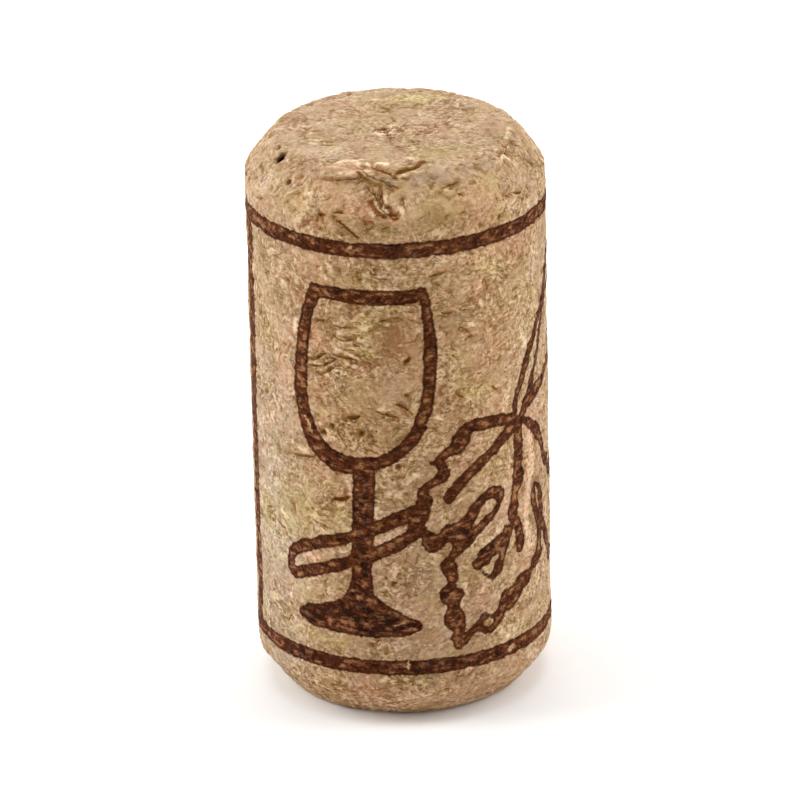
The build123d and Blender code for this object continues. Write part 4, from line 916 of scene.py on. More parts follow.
def add_mark(store, kind, strength, half, points):
    p = np.array([side(*q) if len(q) == 2 else q for q in points], float)
    p = smooth(p, 3) if len(p) > 2 else p
    centre = p.mean(0)
    reach = half + 0.24
    r0 = np.linalg.norm(p - centre, axis=1).max() + reach
    near = np.nonzero(((rest - centre) ** 2).sum(1) < r0 * r0)[0]
    r = rest[near]
    best = np.linalg.norm(r - p[0], axis=1)
    for a, c in zip(p[:-1], p[1:]):
        e = c - a
        t = np.clip(((r - a) @ e) / max(float(e @ e), 1e-9), 0, 1)
        best = np.minimum(best, np.linalg.norm(r - a - t[:, None] * e, axis=1))
    w = np.clip(1 - (best - 0.45 * half) / (0.55 * half + 0.20), 0, 1)
    w = strength * w * w * (3 - 2 * w)
    for k, amount in enumerate(MARK_KINDS[kind]):
        if amount:
            v = w * amount
            old = store[k][near]
            store[k][near] = np.where(np.abs(v) > np.abs(old), v, old)


marks = np.zeros((5, len(rest)))
for kind, items in MARKS.items():
    for strength, half, points in items:
        add_mark(marks, kind, strength, half, points)

# the same kinds of small mark over the rest of the skin: some alone, most in loose clusters that run about level
rng = np.random.default_rng(22)
reading = (np.abs(vs) < 14.2) & (vz > 1.0) | (vz > L - 0.3)
quiet = np.where(reading, 0.10, 1.0)
KINDS = ["dark", "pale", "olive", "pink", "gold", "red"]
SHARE = [.42, .34, .09, .06, .05, .04]


def scatter_mark(at, lean, spread):
    n = normal[at]
    level = np.cross((0.0, 0.0, 1.0), n) if abs(n[2]) < 0.9 else np.array([1.0, 0.0, 0.0])
    level = level / np.linalg.norm(level)
    rise = np.cross(n, level)
    a = lean + rng.normal(0, spread)
    run = level * math.cos(a) + rise * math.sin(a)
    across = np.cross(n, run)
    length = min(0.12 + rng.exponential(0.42), 1.5)
    bend = rng.normal(0, 0.16) * length
    c = rest[at]
    pts = [c - run * length / 2, c + across * bend, c + run * length / 2]
    if n[2] ** 2 < 0.5:                       # follows the round of the side
        r0 = np.hypot(c[0], c[1])
        pts = [np.array([q[0], q[1], 0]) * (r0 / np.hypot(q[0], q[1])) + (0, 0, q[2]) for q in pts]
    kind = KINDS[rng.choice(len(KINDS), p=SHARE)]
    wide = kind in ("pink", "red", "olive")
    half = rng.uniform(.08, .15) if not wide else rng.uniform(.12, .30)
    add_mark(marks, kind, rng.uniform(.28, .72), half, [tuple(q) for q in pts])


for _ in range(520):
    at = rng.integers(len(rest))
    if rng.random() < quiet[at]:
        scatter_mark(at, rng.normal(0, .3), .5)
for _ in range(96):
    at = rng.integers(len(rest))
    skip = rng.random() > quiet[at]
    close = np.nonzero(np.linalg.norm(rest - rest[at], axis=1) < rng.uniform(.8, 1.7))[0]
    lean = rng.normal(0, .35)
    for _k in range(rng.integers(4, 11)):
        pick = close[rng.integers(len(close))]
        if not skip:
            scatter_mark(pick, lean, .25)


# ------------------------------------------------------------------ node helpers
class Net:
    def __init__(self, tree):
        self.t = tree

    def node(self, kind, ins=(), **props):
        n = self.t.nodes.new(kind)
        for k, v in props.items():
            setattr(n, k, v)
        for k, v in dict(ins).items():
            self.put(n.inputs[k], v)
        return n

    def put(self, socket, v):
        if isinstance(v, bpy.types.NodeSocket):
            self.t.links.new(v, socket)
        else:
            socket.default_value = v

    def math(self, op, a, b=None, c=None, clamp=False):
        n = self.t.nodes.new("ShaderNodeMath")
        n.operation, n.use_clamp = op, clamp
        for s, v in zip(n.inputs, (a, b, c)):
            if v is not None:
                self.put(s, v)
        return n.outputs[0]

    def vec(self, op, a, b=None, scale=None):
        n = self.t.nodes.new("ShaderNodeVectorMath")
        n.operation = op
        self.put(n.inputs[0], a)
        if b is not None:
            self.put(n.inputs[1], b)
        if scale is not None:
            self.put(n.inputs["Scale"], scale)
        return n.outputs["Value" if op in ("DOT_PRODUCT", "LENGTH", "DISTANCE") else "Vector"]

    def ramp(self, v, a, b, to_a=0.0, to_b=1.0, kind="SMOOTHSTEP"):
        n = self.t.nodes.new("ShaderNodeMapRange")
        n.interpolation_type = kind
        n.clamp = True
        for s, w in zip(n.inputs[:5], (v, a, b, to_a, to_b)):
            self.put(s, w)
        return n.outputs[0]

    def noise(self, p, scale, detail=2.0, rough=0.5, color=False):
        n = self.t.nodes.new("ShaderNodeTexNoise")
        n.noise_dimensions = "3D"
        self.put(n.inputs["Vector"], p)
        self.put(n.inputs["Scale"], scale)
        self.put(n.inputs["Detail"], detail)
        self.put(n.inputs["Roughness"], rough)
        return n.outputs[1 if color else 0]

    def voronoi(self, p, scale, feature="F1", randomness=1.0):
        n = self.t.nodes.new("ShaderNodeTexVoronoi")
        n.voronoi_dimensions, n.feature = "3D", feature
        self.put(n.inputs["Vector"], p)
        self.put(n.inputs["Scale"], scale)
        self.put(n.inputs["Randomness"], randomness)
        return n

    def split(self, v):
        n = self.t.nodes.new("ShaderNodeSeparateXYZ")
        self.put(n.inputs[0], v)
        return n.outputs[0], n.outputs[1], n.outputs[2]


def cork_fields(net, P, Q):
    """The cork's structure: P is the point in mm, Q the same point pushed about. The mesh relief and the finish both
    use it, so that they agree."""
    G = net.vec("MULTIPLY", Q, (1.0, 1.0, 1.4))
    SCALE_G = 0.50
    granule = net.voronoi(G, SCALE_G)
    edge = net.math("DIVIDE", net.voronoi(G, SCALE_G, "DISTANCE_TO_EDGE").outputs["Distance"], SCALE_G)
    cell = granule.outputs["Color"]
    cx, cy, cz = net.split(cell)
    # stretches where the glue between granules is open
    gate = net.ramp(net.noise(P, 0.95, 1.0, 0.5), 0.54, 0.66)
    # creases: long soft folds that run mostly level
    F = net.vec("MULTIPLY", Q, (0.85, 0.85, 2.3))
    fold = net.math("SUBTRACT", net.noise(F, 0.62, 2.0, 0.55), 0.5)
    return dict(P=P, Q=Q, edge=edge, cell=cell, cx=cx, cy=cy, cz=cz, gate=gate, fold=fold)


def relief_modifier(obj):
    """Writes to the mesh the pushed-about point 'warped' and the relief in mm 'relief'."""
    tree = bpy.data.node_groups.new("cork_relief", "GeometryNodeTree")
    tree.interface.new_socket("Geometry", in_out="INPUT", socket_type="NodeSocketGeometry")
    tree.interface.new_socket("Geometry", in_out="OUTPUT", socket_type="NodeSocketGeometry")
    net = Net(tree)
    gin, gout = net.node("NodeGroupInput"), net.node("NodeGroupOutput")
    P = net.node("GeometryNodeInputNamedAttribute", {"Name": "rest"}, data_type="FLOAT_VECTOR").outputs["Attribute"]
    w1 = net.vec("SCALE", net.vec("SUBTRACT", net.noise(P, 0.42, 2.0, 0.5, True), (0.5, 0.5, 0.5)), scale=2.4)
    w2 = net.vec("SCALE", net.vec("SUBTRACT", net.noise(P, 1.4, 2.0, 0.55, True), (0.5, 0.5, 0.5)), scale=1.0)
    Q = net.vec("ADD", net.vec("ADD", P, w1), w2)
    f = cork_fields(net, P, Q)
    wave = net.math("MULTIPLY", net.math("SUBTRACT", net.noise(P, 0.16, 2.0, 0.5), 0.5), 0.34)
    lump = net.math("MULTIPLY", net.math("SUBTRACT", net.noise(Q, 0.70, 2.0, 0.5), 0.5), 0.17)
    step = net.math("MULTIPLY", net.math("SUBTRACT", f["cz"], 0.5),
                    net.math("MULTIPLY", net.ramp(f["edge"], 0.0, 0.45), 0.06))
    gap = net.math("MULTIPLY", net.ramp(f["edge"], 0.0, 0.30, 1.0, 0.0), net.math("MULTIPLY_ADD", f["gate"], 0.10, 0.008))
    crease = net.math("MULTIPLY", net.ramp(net.math("ABSOLUTE", f["fold"]), 0.0, 0.09, 1.0, 0.0), 0.05)
    h = net.math("ADD", net.math("ADD", wave, lump), step)
    h = net.math("SUBTRACT", net.math("SUBTRACT", h, gap), crease)
    store = net.node("GeometryNodeStoreNamedAttribute",
                     {"Geometry": gin.outputs[0], "Name": "relief", "Value": h}, data_type="FLOAT", domain="POINT")
    keep = net.node("GeometryNodeStoreNamedAttribute",
                    {"Geometry": store.outputs[0], "Name": "warped", "Value": Q}, data_type="FLOAT_VECTOR", domain="POINT")
    tree.links.new(keep.outputs[0], gout.inputs[0])
    m = obj.modifiers.new("relief", "NODES")
    m.node_group = tree


# ------------------------------------------------------------------ the piece
me = mesh_from("cork_body_flat", rest * MM, quads, uv)
put_attribute(me, "rest", rest)
probe = bpy.data.objects.new("probe", me)
bpy.context.scene.collection.objects.link(probe)
relief_modifier(probe)
bpy.context.view_layer.update()
ev = probe.evaluated_get(bpy.context.evaluated_depsgraph_get())
relief = get_attribute(ev.data, "relief").astype(float)
warped = get_attribute(ev.data, "warped").astype(float)
bpy.data.objects.remove(probe)

# soft patches, their outlines pushed about with the grain
tone = np.zeros((len(rest), 3))
lively = np.zeros(len(rest))
wx, wy, wz = (rest + (warped - rest) * 0.8).T
ws = R * np.arctan2(wx, -wy)
on_top = rest[:, 2] > L - 0.3
for s0, z0, a, b, light, pink, olive, life in SIDE_TONES:
    w = np.exp(-(((ws - s0) / a) ** 2 + ((wz - z0) / b) ** 2) ** 1.4) * ~on_top
    tone += w[:, None] * (light, pink * 1.4, olive * 1.3)
    lively += w * life
for x0, y0, a, b, light, pink, olive, life in TOP_TONES:
    w = np.exp(-(((wx - x0) / a) ** 2 + ((wy - y0) / b) ** 2) ** 1.4) * (rest[:, 2] > L - 1.2)
    tone += w[:, None] * (light, pink, olive)
    lively += w * life

lively -= 0.45 * np.clip((L - rest[:, 2]) / -1.6 + 1, 0, 1)
rad = np.hypot(rest[:, 0], rest[:, 1])
# worn edges: a little more goes where wall meets chamfer and chamfer meets face
def near_edge(r0, z0, width):
    return np.exp(-(((rad - r0) ** 2 + (rest[:, 2] - z0) ** 2) / width ** 2))


wear = sum(near_edge(r0, z0, 0.9) for r0, z0 in ((R, L - CH_Z), (RF, L), (R, CH_Z), (RF, 0.0)))
height = relief - carve + ledge - 0.06 * wear + wear * np.minimum(relief, 0) * 0.8
height += 0.045 * marks[0] - 0.050 * marks[1]
tone += np.column_stack([np.zeros(len(rest)), marks[3], marks[4]])
foot_face = (rest[:, 2] < 0.02)
height[foot_face] = np.minimum(height[foot_face] - 0.02, 0.0)      # nothing stands proud of the face it rests on
final = rest + normal * height[:, None]
# the ring that the cork stands on is pressed flat, so no dent lifts it far off the floor
stood_on = np.clip((rad - RF + 2.2) / 1.2, 0, 1) * np.clip(1.3 - rest[:, 2], 0, 1)
final[:, 2] -= 0.75 * stood_on * np.maximum(final[:, 2] - rest[:, 2], 0)


def spread(v, times):
    """Each point takes the mean of the faces round it, over and over."""
    count = np.bincount(quads.ravel(), minlength=len(v))
    for _ in range(times):
        v = np.bincount(quads.ravel(), np.repeat(v[quads].mean(1), 4), len(v)) / count
    return v


# painted shade: dips and steep sides are made darker and warmer, standing in for shade and warm bounced light inside
# them
corner = height[quads]
steep = np.bincount(quads.ravel(), np.repeat(corner.max(1) - corner.min(1), 4), len(rest)) / np.bincount(quads.ravel(), minlength=len(rest))
cavity_shade = np.clip((spread(height, 7) - height) / 0.080 - 0.30, 0, 1) + 0.6 * np.clip(steep / 0.11 - 0.50, 0, 1)
final[:, 2] = np.maximum(final[:, 2], 0.0)

body = mesh_from("cork_body", final * MM, quads, uv)
put_attribute(body, "rest", rest)
put_attribute(body, "warped", warped)
put_attribute(body, "ink", ink)
put_attribute(body, "ink_fill", foot_fill)
put_attribute(body, "dark", dark)
put_attribute(body, "cavity_shade", np.clip(cavity_shade, 0, 1))
put_attribute(body, "marks", marks[:3].T)
put_attribute(body, "tone", tone)
put_attribute(body, "lively", np.clip(lively, -1, 1))
put_attribute(body, "split_off", split_off[:3].T)
put_attribute(body, "split_half", split_half[:3].T)
put_attribute(body, "split_last", np.column_stack([split_off[3], split_half[3], np.zeros(len(rest))]))
cork = bpy.data.objects.new("cork_body", body)
bpy.context.scene.collection.objects.link(cork)


# ------------------------------------------------------------------ the finish
def srgb(r, g, b):
    def lin(c):
        c /= 255
        return c / 12.92 if c <= 0.04045 else ((c + 0.055) / 1.055) ** 2.4
    return (lin(r), lin(g), lin(b), 1.0)


def cork_material():
    mat = bpy.data.materials.new("agglomerated_cork")
    mat.use_nodes = True
    tree = mat.node_tree
    tree.nodes.clear()
    net = Net(tree)

    def attribute(name):
        n = net.node("ShaderNodeAttribute", attribute_name=name)
        n.attribute_type = "GEOMETRY"
        return n

    def mix(a, b, fac, blend="MIX"):
        n = tree.nodes.new("ShaderNodeMix")
        n.data_type, n.blend_type = "RGBA", blend
        net.put(n.inputs[0], fac)
        net.put(n.inputs[6], a)
        net.put(n.inputs[7], b)
        return n.outputs[2]

    def tones(fac, stops):
        n = tree.nodes.new("ShaderNodeValToRGB")
        e = n.color_ramp.elements
        while len(e) < len(stops):
            e.new(0.5)
        for el, (pos, col) in zip(e, stops):
            el.position, el.color = pos, col
        net.put(n.inputs[0], fac)
        return n.outputs[0]

    def add(a, b, k):
        return net.math("MULTIPLY_ADD", b, k, a)

    P = attribute("rest").outputs["Vector"]
    Q = attribute("warped").outputs["Vector"]
    f = cork_fields(net, P, Q)
    lighter, pinker, olive = net.split(attribute("tone").outputs["Vector"])
    life = attribute("lively").outputs["Fac"]

    # fine push, for ragged outlines
    w3 = net.vec("SCALE", net.vec("SUBTRACT", net.noise(P, 3.4, 1.0, 0.5, True), (0.5, 0.5, 0.5)), scale=0.34)
    PW = net.vec("ADD", P, w3)

    # grain inside each granule, its own way round; crumbly grain over all
    axis = net.vec("SUBTRACT", f["cell"], (0.5, 0.5, 0.5))
    turned = net.node("ShaderNodeVectorRotate", {"Vector": Q, "Axis": axis, "Angle": net.math("MULTIPLY", f["cy"], 6.283)},
                      rotation_type="AXIS_ANGLE").outputs[0]
    grain = net.noise(net.vec("MULTIPLY", turned, (1.4, 3.2, 3.2)), 1.0, 2.0, 0.56)
    crumbly = net.noise(net.vec("MULTIPLY", P, (1.0, 1.0, 1.3)), 3.3, 1.0, 0.50)
    # short strokes, each granule's lying its own way
    strokes = net.noise(net.vec("MULTIPLY", turned, (1.15, 2.75, 2.75)), 1.0, 1.0, 0.50)
    dark_stroke = net.ramp(strokes, 0.43, 0.34)
    pale_stroke = net.ramp(strokes, 0.57, 0.66)

    # creases and fine wrinkles, broken into short stretches
    busy = net.ramp(net.noise(net.vec("ADD", P, (3.0, 51.0, 17.0)), 0.34, 2.0, 0.5), 0.38, 0.62, 0.50, 1.28)
    amp = net.math("MULTIPLY", net.math("MULTIPLY_ADD", life, 0.75, 1.0), busy)
    F2 = net.vec("MULTIPLY", net.vec("ADD", Q, w3), (0.9, 0.9, 2.4))
    fold2 = net.math("SUBTRACT", net.noise(F2, 1.15, 1.5, 0.5), 0.5)
    stretch = net.noise(net.vec("ADD", P, (17.0, 3.0, 9.0)), 1.25, 1.0, 0.5)
    open1 = net.ramp(net.math("MULTIPLY_ADD", life, 0.09, stretch), 0.56, 0.68)
    wrinkle = net.math("MULTIPLY", net.ramp(net.math("ABSOLUTE", fold2), 0.008, 0.080, 1.0, 0.0), open1)
    open2 = net.ramp(net.math("MULTIPLY_ADD", life, 0.09, net.math("SUBTRACT", 1.0, stretch)), 0.57, 0.69)
    crease = net.math("MULTIPLY", net.ramp(net.math("ABSOLUTE", f["fold"]), 0.006, 0.050, 1.0, 0.0), open2)

    # joints between granules
    thin = net.math("MULTIPLY_ADD", crumbly, 0.34, -0.08)
    calm = net.ramp(life, -0.9, 0.1, 0.25, 1.0, kind="LINEAR")
    joint = net.math("MULTIPLY", calm, net.ramp(net.math("DIVIDE", f["edge"], net.math("MAXIMUM", thin, 0.02)), 0.1, 1.15, 1.0, 0.0))
    joint = net.math("MULTIPLY", joint, f["gate"])

    small = net.voronoi(net.vec("MULTIPLY", net.vec("ADD", Q, w3), (1.0, 1.0, 1.9)), 0.98, "DISTANCE_TO_EDGE")
    small_edge = net.math("DIVIDE", small.outputs["Distance"], 0.98)
    small_gate = net.ramp(net.math("MULTIPLY_ADD", life, 0.10, net.noise(net.vec("ADD", P, (41.0, 23.0, 5.0)), 1.05, 1.0, 0.5)), 0.56, 0.67)
    seam = net.math("MULTIPLY", net.ramp(net.math("DIVIDE", small_edge, net.math("MAXIMUM", net.math("MULTIPLY_ADD", crumbly, 0.26, -0.05), 0.015)), 0.1, 1.15, 1.0, 0.0), small_gate)
    fleck = net.noise(net.vec("MULTIPLY", net.vec("ADD", PW, (7.0, 29.0, 3.0)), (1.0, 1.0, 1.7)), 1.9, 2.0, 0.62)
    dark_fleck = net.ramp(fleck, 0.40, 0.31)
    pale_fleck = net.ramp(fleck, 0.60, 0.70)

    # pits, specks and pale crumbs, each cell of a lattice holding one or none
    def spots(scale, shift, wide, narrow):
        v = net.voronoi(net.vec("MULTIPLY", net.vec("ADD", PW, shift), (1.0, 1.0, 1.3)), scale)
        kx, ky, kz = net.split(v.outputs["Color"])
        r = net.math("DIVIDE", v.outputs["Distance"], scale)
        size = net.math("MULTIPLY_ADD", net.math("POWER", ky, 2.0), wide, narrow)
        return kx, kz, net.ramp(net.math("DIVIDE", r, size), 0.62, 1.12, 1.0, 0.0)

    kx, kz, disc = spots(0.80, (31.0, 7.0, 13.0), 0.24, 0.07)
    speck = net.math("MULTIPLY", disc, net.ramp(kx, 0.17, 0.16, kind="LINEAR"))
    crumb = net.math("MULTIPLY", disc, net.ramp(kx, 0.72, 0.73, kind="LINEAR"))
    hx, hz, hole = spots(0.42, (3.0, 19.0, 41.0), 0.24, 0.10)
    pit = net.math("MULTIPLY", hole, net.ramp(hx, 0.62, 0.63, kind="LINEAR"))

    # tone: light and dark summed, then looked up from brown to cream
    patch = net.noise(Q, 0.30, 2.0, 0.5)
    t = net.math("MULTIPLY_ADD", lighter, 0.42, 0.446)
    calm_top = net.ramp(net.split(P)[2], L - 2.0, L - 0.4, 1.0, 0.62)
    t = add(t, net.math("SUBTRACT", patch, 0.5), net.math("MULTIPLY", calm_top, 0.30))
    t = add(t, net.math("SUBTRACT", f["cx"], 0.5), 0.08)
    t = add(t, net.math("SUBTRACT", grain, 0.5), net.math("MULTIPLY", amp, 0.34))
    t = add(t, net.math("SUBTRACT", crumbly, 0.5), net.math("MULTIPLY", amp, 0.74))
    t = add(t, f["fold"], 0.14)
    t = add(t, net.math("MULTIPLY", fold2, amp), 0.14)
    col = tones(t, [(0.08, srgb(112, 72, 37)), (0.30, srgb(165, 127, 86)), (0.50, srgb(199, 164, 125)),
                    (0.70, srgb(221, 190, 155)), (0.95, srgb(243, 223, 196))])
    hue = net.noise(net.vec("ADD", Q, (9.0, 2.0, 5.0)), 0.24, 2.0, 0.55)
    col = mix(col, mix(col, (1.0, 0.93, 0.93, 1.0), 1.0, "MULTIPLY"), net.ramp(hue, 0.50, 0.68))
    col = mix(col, mix(col, (0.93, 0.97, 0.78, 1.0), 1.0, "MULTIPLY"), net.ramp(hue, 0.46, 0.32, 0.0, 0.48))

    hue2 = net.noise(net.vec("ADD", Q, (2.0, 14.0, 8.0)), 0.62, 2.0, 0.6)
    col = mix(col, mix(col, (1.0, 0.90, 0.91, 1.0), 1.0, "MULTIPLY"), net.ramp(hue2, 0.52, 0.68, 0.0, 0.70))
    col = mix(col, mix(col, (0.92, 0.97, 0.76, 1.0), 1.0, "MULTIPLY"), net.ramp(hue2, 0.47, 0.33, 0.0, 0.60))
    px, py, pz = net.split(P)
    # painted sheen: the left and right sides, the lower part and the top face are made cooler and less saturated,
    # standing in for a pale veil of light at grazing angles
    painted_sheen = net.math("MULTIPLY", net.ramp(px, -4.5, -10.6, 0.0, 1.0), net.ramp(pz, 30.0, 20.0, 0.62, 1.0))
    painted_sheen = net.math("MAXIMUM", painted_sheen, net.ramp(pz, L - 1.1, L - 0.2, 0.0, 0.64))
    painted_sheen = net.math("MAXIMUM", painted_sheen, net.math("MAXIMUM", net.ramp(pz, 24.0, 13.0, 0.0, 0.26), net.ramp(px, 7.0, 10.8, 0.0, 0.52)))
    col = mix(col, mix(col, (0.86, 1.0, 1.27, 1.0), 1.0, "MULTIPLY"), painted_sheen)
    col = mix(col, srgb(142, 104, 58), net.math("MULTIPLY", dark_fleck, 0.12))
    col = mix(col, srgb(238, 212, 168), net.math("MULTIPLY", pale_fleck, 0.30))
    much = net.math("MULTIPLY", net.math("MULTIPLY_ADD", life, 0.28, 0.43), busy)
    col = mix(col, srgb(136, 94, 50), net.math("MULTIPLY", dark_stroke, much))
    col = mix(col, srgb(240, 214, 172), net.math("MULTIPLY", pale_stroke, much))
    col = mix(col, srgb(108, 70, 26), net.math("MULTIPLY", joint, 0.44))
    col = mix(col, srgb(108, 70, 26), net.math("MULTIPLY", net.math("MULTIPLY", seam, calm), 0.32))
    # creases and wrinkles are darkened in the colour on top of the bump: partly their own darker brown and partly
    # painted shade
    col = mix(col, srgb(122, 84, 38), net.math("MULTIPLY", crease, 0.34))
    col = mix(col, srgb(122, 84, 38), net.math("MULTIPLY", wrinkle, 0.38))
    col = mix(col, srgb(88, 50, 20), net.math("MULTIPLY", pit, net.math("MULTIPLY_ADD", hz, 0.50, 0.22)))
    col = mix(col, srgb(240, 218, 180), net.math("MULTIPLY", crumb, 0.55))
    col = mix(col, srgb(116, 74, 42), net.math("MULTIPLY", speck, 0.62))
    mx, mz, mite = spots(1.7, (11.0, 37.0, 3.0), 0.11, 0.05)
    col = mix(col, srgb(242, 218, 178), net.math("MULTIPLY", net.math("MULTIPLY", mite, net.ramp(mx, 0.68, 0.69, kind="LINEAR")), 0.50))
    col = mix(col, srgb(128, 86, 48), net.math("MULTIPLY", net.math("MULTIPLY", mite, net.ramp(mx, 0.26, 0.25, kind="LINEAR")), 0.42))

    # the small marks, their edges broken by the grain
    fine = net.math("SUBTRACT", crumbly, 0.5)
    light, shade, over = net.split(attribute("marks").outputs["Vector"])

    def broken(v):
        return net.math("MULTIPLY", net.ramp(net.math("MULTIPLY_ADD", fine, 0.75, v), 0.06, 0.80), net.ramp(v, 0.0, 0.12))

    light, shade = broken(light), broken(shade)
    pale_col = mix(col, srgb(248, 225, 190), 0.85)
    shade_col = mix(col, (0.44, 0.27, 0.11, 1.0), 1.0, "MULTIPLY")
    # pale marks lighten and dark marks darken the colour: partly the cork's own crumbs and specks, partly painted
    # highlight and painted shade
    col = mix(col, pale_col, light)
    col = mix(col, shade_col, shade)
    col = mix(col, mix(col, (1.0, 0.87, 0.88, 1.0), 1.0, "MULTIPLY"), net.math("MULTIPLY", pinker, 1.25, clamp=True))
    col = mix(col, mix(col, (0.90, 0.96, 0.64, 1.0), 1.0, "MULTIPLY"), net.math("MULTIPLY", olive, 1.05, clamp=True))

    # painted shade: darker and warmer in dips and on steep sides
    col = mix(col, mix(col, (0.92, 0.78, 0.56, 1.0), 1.0, "MULTIPLY"), attribute("cavity_shade").outputs["Fac"])

    # the print: its edge wanders a little and is darkest there; it is thin over the crumbs and misses the pits
    wander = net.math("MULTIPLY", net.math("SUBTRACT", net.noise(P, 1.15, 2.0, 0.5), 0.5), 0.36)
    dist = net.math("MULTIPLY_ADD", fine, 0.14, net.math("ADD", attribute("ink").outputs["Fac"], wander))
    inked = net.ramp(dist, 0.075, -0.075)
    inside = net.ramp(dist, -0.10, -0.34)
    thinned = net.ramp(net.noise(net.vec("MULTIPLY", net.vec("ADD", P, (5.0, 11.0, 2.0)), (1.0, 1.0, 1.8)), 1.15, 3.0, 0.65), 0.44, 0.66)
    missed = net.ramp(crumbly, 0.60, 0.72)
    filled = attribute("ink_fill").outputs["Fac"]
    bare = net.math("MULTIPLY", missed, 0.08)
    bare = net.math("ADD", bare, net.math("MULTIPLY", crumb, 0.12))
    bare = net.math("ADD", bare, net.math("MULTIPLY", net.math("MULTIPLY", inside, thinned), 0.12), clamp=True)
    coverage = net.math("MULTIPLY", inked, net.math("SUBTRACT", 0.985, bare))
    mottle = net.noise(net.vec("MULTIPLY", PW, (1.0, 1.0, 1.3)), 1.7, 1.0, 0.5)
    ink_t = net.math("ADD", net.math("MULTIPLY", net.math("MULTIPLY", inside, thinned), 0.54), net.math("MULTIPLY_ADD", grain, 0.60, -0.33))
    ink_t = net.math("ADD", ink_t, net.math("MULTIPLY", mottle, 0.55))
    in_stem = net.math("MULTIPLY", filled, net.ramp(pz, 9.8, 11.0))
    ink_t = net.math("MULTIPLY_ADD", net.math("SUBTRACT", mottle, 0.5), net.math("MULTIPLY", in_stem, 0.95), ink_t)
    ink_t = net.math("SUBTRACT", ink_t, net.math("MULTIPLY", filled, 0.14))
    ink_t = net.math("MULTIPLY_ADD", over, 0.42, ink_t)
    ink_col = tones(ink_t, [(0.0, srgb(40, 14, 3)), (0.16, srgb(62, 25, 8)), (0.32, srgb(84, 40, 17)), (0.52, srgb(108, 58, 28)),
                            (0.85, srgb(162, 110, 70))])
    coverage = net.math("MULTIPLY", coverage, net.ramp(net.math("MULTIPLY_ADD", fine, 0.5, over), 0.46, 0.74, 1.0, 0.10))
    ink_col = mix(ink_col, mix(ink_col, (0.97, 0.88, 1.04, 1.0), 1.0, "MULTIPLY"), filled)
    col = mix(col, ink_col, coverage)

    # splits, drawn from their signed offset so that they stay sharp
    jitter = net.math("MULTIPLY_ADD", fine, 0.22, wander)
    swell = net.math("MULTIPLY_ADD", grain, 3.0, -0.45)
    offs, halves, last = attribute("split_off"), attribute("split_half"), attribute("split_last")
    ox, oy, oz = net.split(offs.outputs["Vector"])
    hx2, hy2, hz2 = net.split(halves.outputs["Vector"])
    lx, ly, lz = net.split(last.outputs["Vector"])
    gash, lip_highlight = None, None
    for o, h in ((ox, hx2), (oy, hy2), (oz, hz2), (lx, ly)):
        o = net.math("ADD", o, net.math("MULTIPLY", jitter, 0.75))
        h = net.math("MULTIPLY", h, swell)
        here = net.ramp(h, 0.0, 0.03, kind="LINEAR")
        g = net.math("MULTIPLY", net.ramp(net.math("SUBTRACT", net.math("ABSOLUTE", o), h), 0.03, -0.04), here)
        e = net.math("MULTIPLY", net.ramp(net.math("ABSOLUTE", net.math("ADD", net.math("ADD", o, h), 0.09)), 0.02, 0.09, 1.0, 0.0), here)
        gash = g if gash is None else net.math("MAXIMUM", gash, g)
        lip_highlight = e if lip_highlight is None else net.math("MAXIMUM", lip_highlight, e)
    # painted highlight: a pale band along the lower side of each split, where its lower edge catches the light; painted
    # shade: the dark inside each split
    col = mix(col, srgb(236, 208, 166), net.math("MULTIPLY", net.math("MULTIPLY", lip_highlight, net.ramp(crumbly, 0.36, 0.60)), net.math("MULTIPLY_ADD", coverage, -0.35, 0.42)))
    col = mix(col, srgb(100, 62, 26), net.math("MULTIPLY", gash, 0.60))

    deep = attribute("dark").outputs["Fac"]
    deep = net.ramp(net.math("ADD", deep, net.math("MULTIPLY_ADD", fine, 1.1, net.math("MULTIPLY_ADD", grain, 0.5, -0.25))), 0.30, 0.62)
    deep = net.math("MULTIPLY", deep, net.ramp(attribute("dark").outputs["Fac"], 0.0, 1.0, 0.35, 1.0, kind="LINEAR"))
    col = mix(col, srgb(62, 31, 8), net.math("MULTIPLY", deep, 0.88))
    col = mix(col, srgb(14, 6, 2), net.ramp(net.math("MULTIPLY_ADD", fine, 0.8, attribute("dark").outputs["Fac"]), 1.0, 1.35))

    # bump, in mm
    h = net.math("MULTIPLY", grain, 0.065)
    h = net.math("ADD", h, net.math("MULTIPLY", crumbly, 0.085))
    h = net.math("ADD", h, net.math("MULTIPLY", fold2, 0.12))
    h = net.math("SUBTRACT", h, net.math("MULTIPLY", wrinkle, 0.055))
    h = net.math("SUBTRACT", h, net.math("MULTIPLY", crease, 0.07))
    h = net.math("SUBTRACT", h, net.math("MULTIPLY", net.math("MAXIMUM", joint, net.math("MULTIPLY", seam, calm)), 0.10))
    h = net.math("ADD", h, net.math("MULTIPLY", fleck, 0.08))
    h = net.math("SUBTRACT", h, net.math("MULTIPLY", pit, 0.10))
    h = net.math("SUBTRACT", h, net.math("MULTIPLY", gash, 0.10))
    h = net.math("ADD", h, net.math("MULTIPLY", crumb, 0.030))
    bump = net.node("ShaderNodeBump", {"Strength": 1.0, "Distance": MM, "Height": h})

    rough = net.ramp(crumbly, 0.3, 0.7, 0.86, 0.70)
    rough = net.math("SUBTRACT", rough, net.math("MULTIPLY", coverage, 0.07))
    bsdf = net.node("ShaderNodeBsdfPrincipled", {"Base Color": col, "Roughness": rough, "Normal": bump.outputs[0]})
    bsdf.inputs["Specular IOR Level"].default_value = 0.03
    bsdf.inputs["Diffuse Roughness"].default_value = 0.6
    out = net.node("ShaderNodeOutputMaterial", {"Surface": bsdf.outputs[0]})
    return mat


cork.data.materials.append(cork_material())
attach(cork, "root")
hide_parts(NODE)


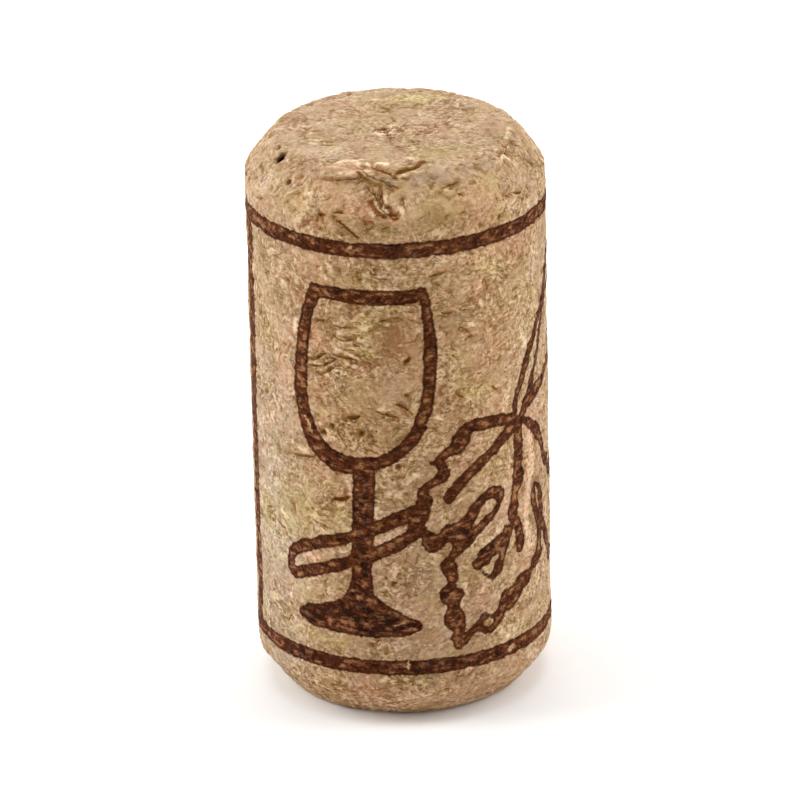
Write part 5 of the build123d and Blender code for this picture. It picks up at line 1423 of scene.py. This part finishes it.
# ------------------------------------------------------------------ stage, light, camera
def floor():
    me = bpy.data.meshes.new("floor")
    n = 96
    rings = [(RF - 0.9) * MM, 0.05, 3.0]     # open under the foot, so that the foot isn't black from below
    me.from_pydata([(r * math.cos(2 * math.pi * k / n), r * math.sin(2 * math.pi * k / n), -0.00002)
                    for r in rings for k in range(n)], [],
                   [(a * n + k, (a + 1) * n + k, (a + 1) * n + (k + 1) % n, a * n + (k + 1) % n)
                    for a in range(2) for k in range(n)])
    ob = bpy.data.objects.new("floor", me)
    bpy.context.scene.collection.objects.link(ob)
    mat = bpy.data.materials.new("floor_paper")
    mat.use_nodes = True
    t = mat.node_tree
    t.nodes.clear()
    net = Net(t)
    paper = net.node("ShaderNodeBsdfDiffuse", {"Color": (0.93, 0.93, 0.925, 1.0)})
    clear = net.node("ShaderNodeBsdfTransparent")
    back = net.node("ShaderNodeNewGeometry").outputs["Backfacing"]
    both = net.node("ShaderNodeMixShader", {0: back, 1: paper.outputs[0], 2: clear.outputs[0]})
    net.node("ShaderNodeOutputMaterial", {"Surface": both.outputs[0]})
    me.materials.append(mat)
    return ob


def area(name, at, target, size, power, color=(1, 1, 1)):
    light = bpy.data.lights.new(name, "AREA")
    light.shape = "RECTANGLE"
    light.size, light.size_y = size
    light.energy = power
    light.color = color
    ob = bpy.data.objects.new(name, light)
    ob.location = at
    ob.rotation_mode = "QUATERNION"
    ob.rotation_quaternion = (Vector(target) - Vector(at)).to_track_quat("-Z", "Y")
    ob.visible_camera = False
    bpy.context.scene.collection.objects.link(ob)
    return ob


floor()
mid = Vector((0, 0, L * MM / 2))
area("softbox_left", (-0.55, 0.08, 0.30), mid, (0.45, 0.60), 4.6)
area("softbox_right", (0.55, 0.10, 0.30), mid, (0.45, 0.60), 3.75)
area("softbox_top", (0.0, 0.12, 0.75), mid, (0.60, 0.60), 2.9)
area("fill_front", (0.0, -0.80, 0.35), mid, (0.60, 0.50), 0.38)
area("fill_back", (0.0, 0.85, 0.35), mid, (0.60, 0.50), 1.8)

# pale all round: soft from above, brighter at the level of the eye and below the floor, where it lights nothing that
# stands on the floor
world = bpy.data.worlds.new("studio")
bpy.context.scene.world = world
world.use_nodes = True
wt = world.node_tree
wt.nodes.clear()
wnet = Net(wt)
up = wnet.split(wnet.node("ShaderNodeTexCoord").outputs["Generated"])[2]
glow = wnet.ramp(up, 0.02, 0.34, 0.80, 0.26)
sky = wnet.node("ShaderNodeBackground", {"Color": (1.0, 1.0, 1.0, 1.0), "Strength": glow})
wnet.node("ShaderNodeOutputWorld", {"Surface": sky.outputs[0]})

bpy.context.scene.view_settings.view_transform = "Standard"
bpy.context.scene.view_settings.look = "None"
bpy.context.scene.view_settings.exposure = 0.0

CAM_AT = Vector((0.0, -0.5173, 0.2474))
cam_data = bpy.data.cameras.new("camera")
cam_data.sensor_width = 36.0
cam_data.lens = 335.0
cam_data.clip_start, cam_data.clip_end = 0.01, 20.0
cam_data.dof.use_dof = False
cam = bpy.data.objects.new("camera", cam_data)
cam.location = CAM_AT
aim = (mid - CAM_AT).to_track_quat("-Z", "Y")
cam.rotation_mode = "QUATERNION"
ROLL = math.radians(-1.25)           # the cork's top leans a little to the left in the picture
cam.rotation_quaternion = aim @ Matrix.Rotation(ROLL, 4, "Z").to_quaternion()
bpy.context.scene.collection.objects.link(cam)
bpy.context.scene.camera = cam
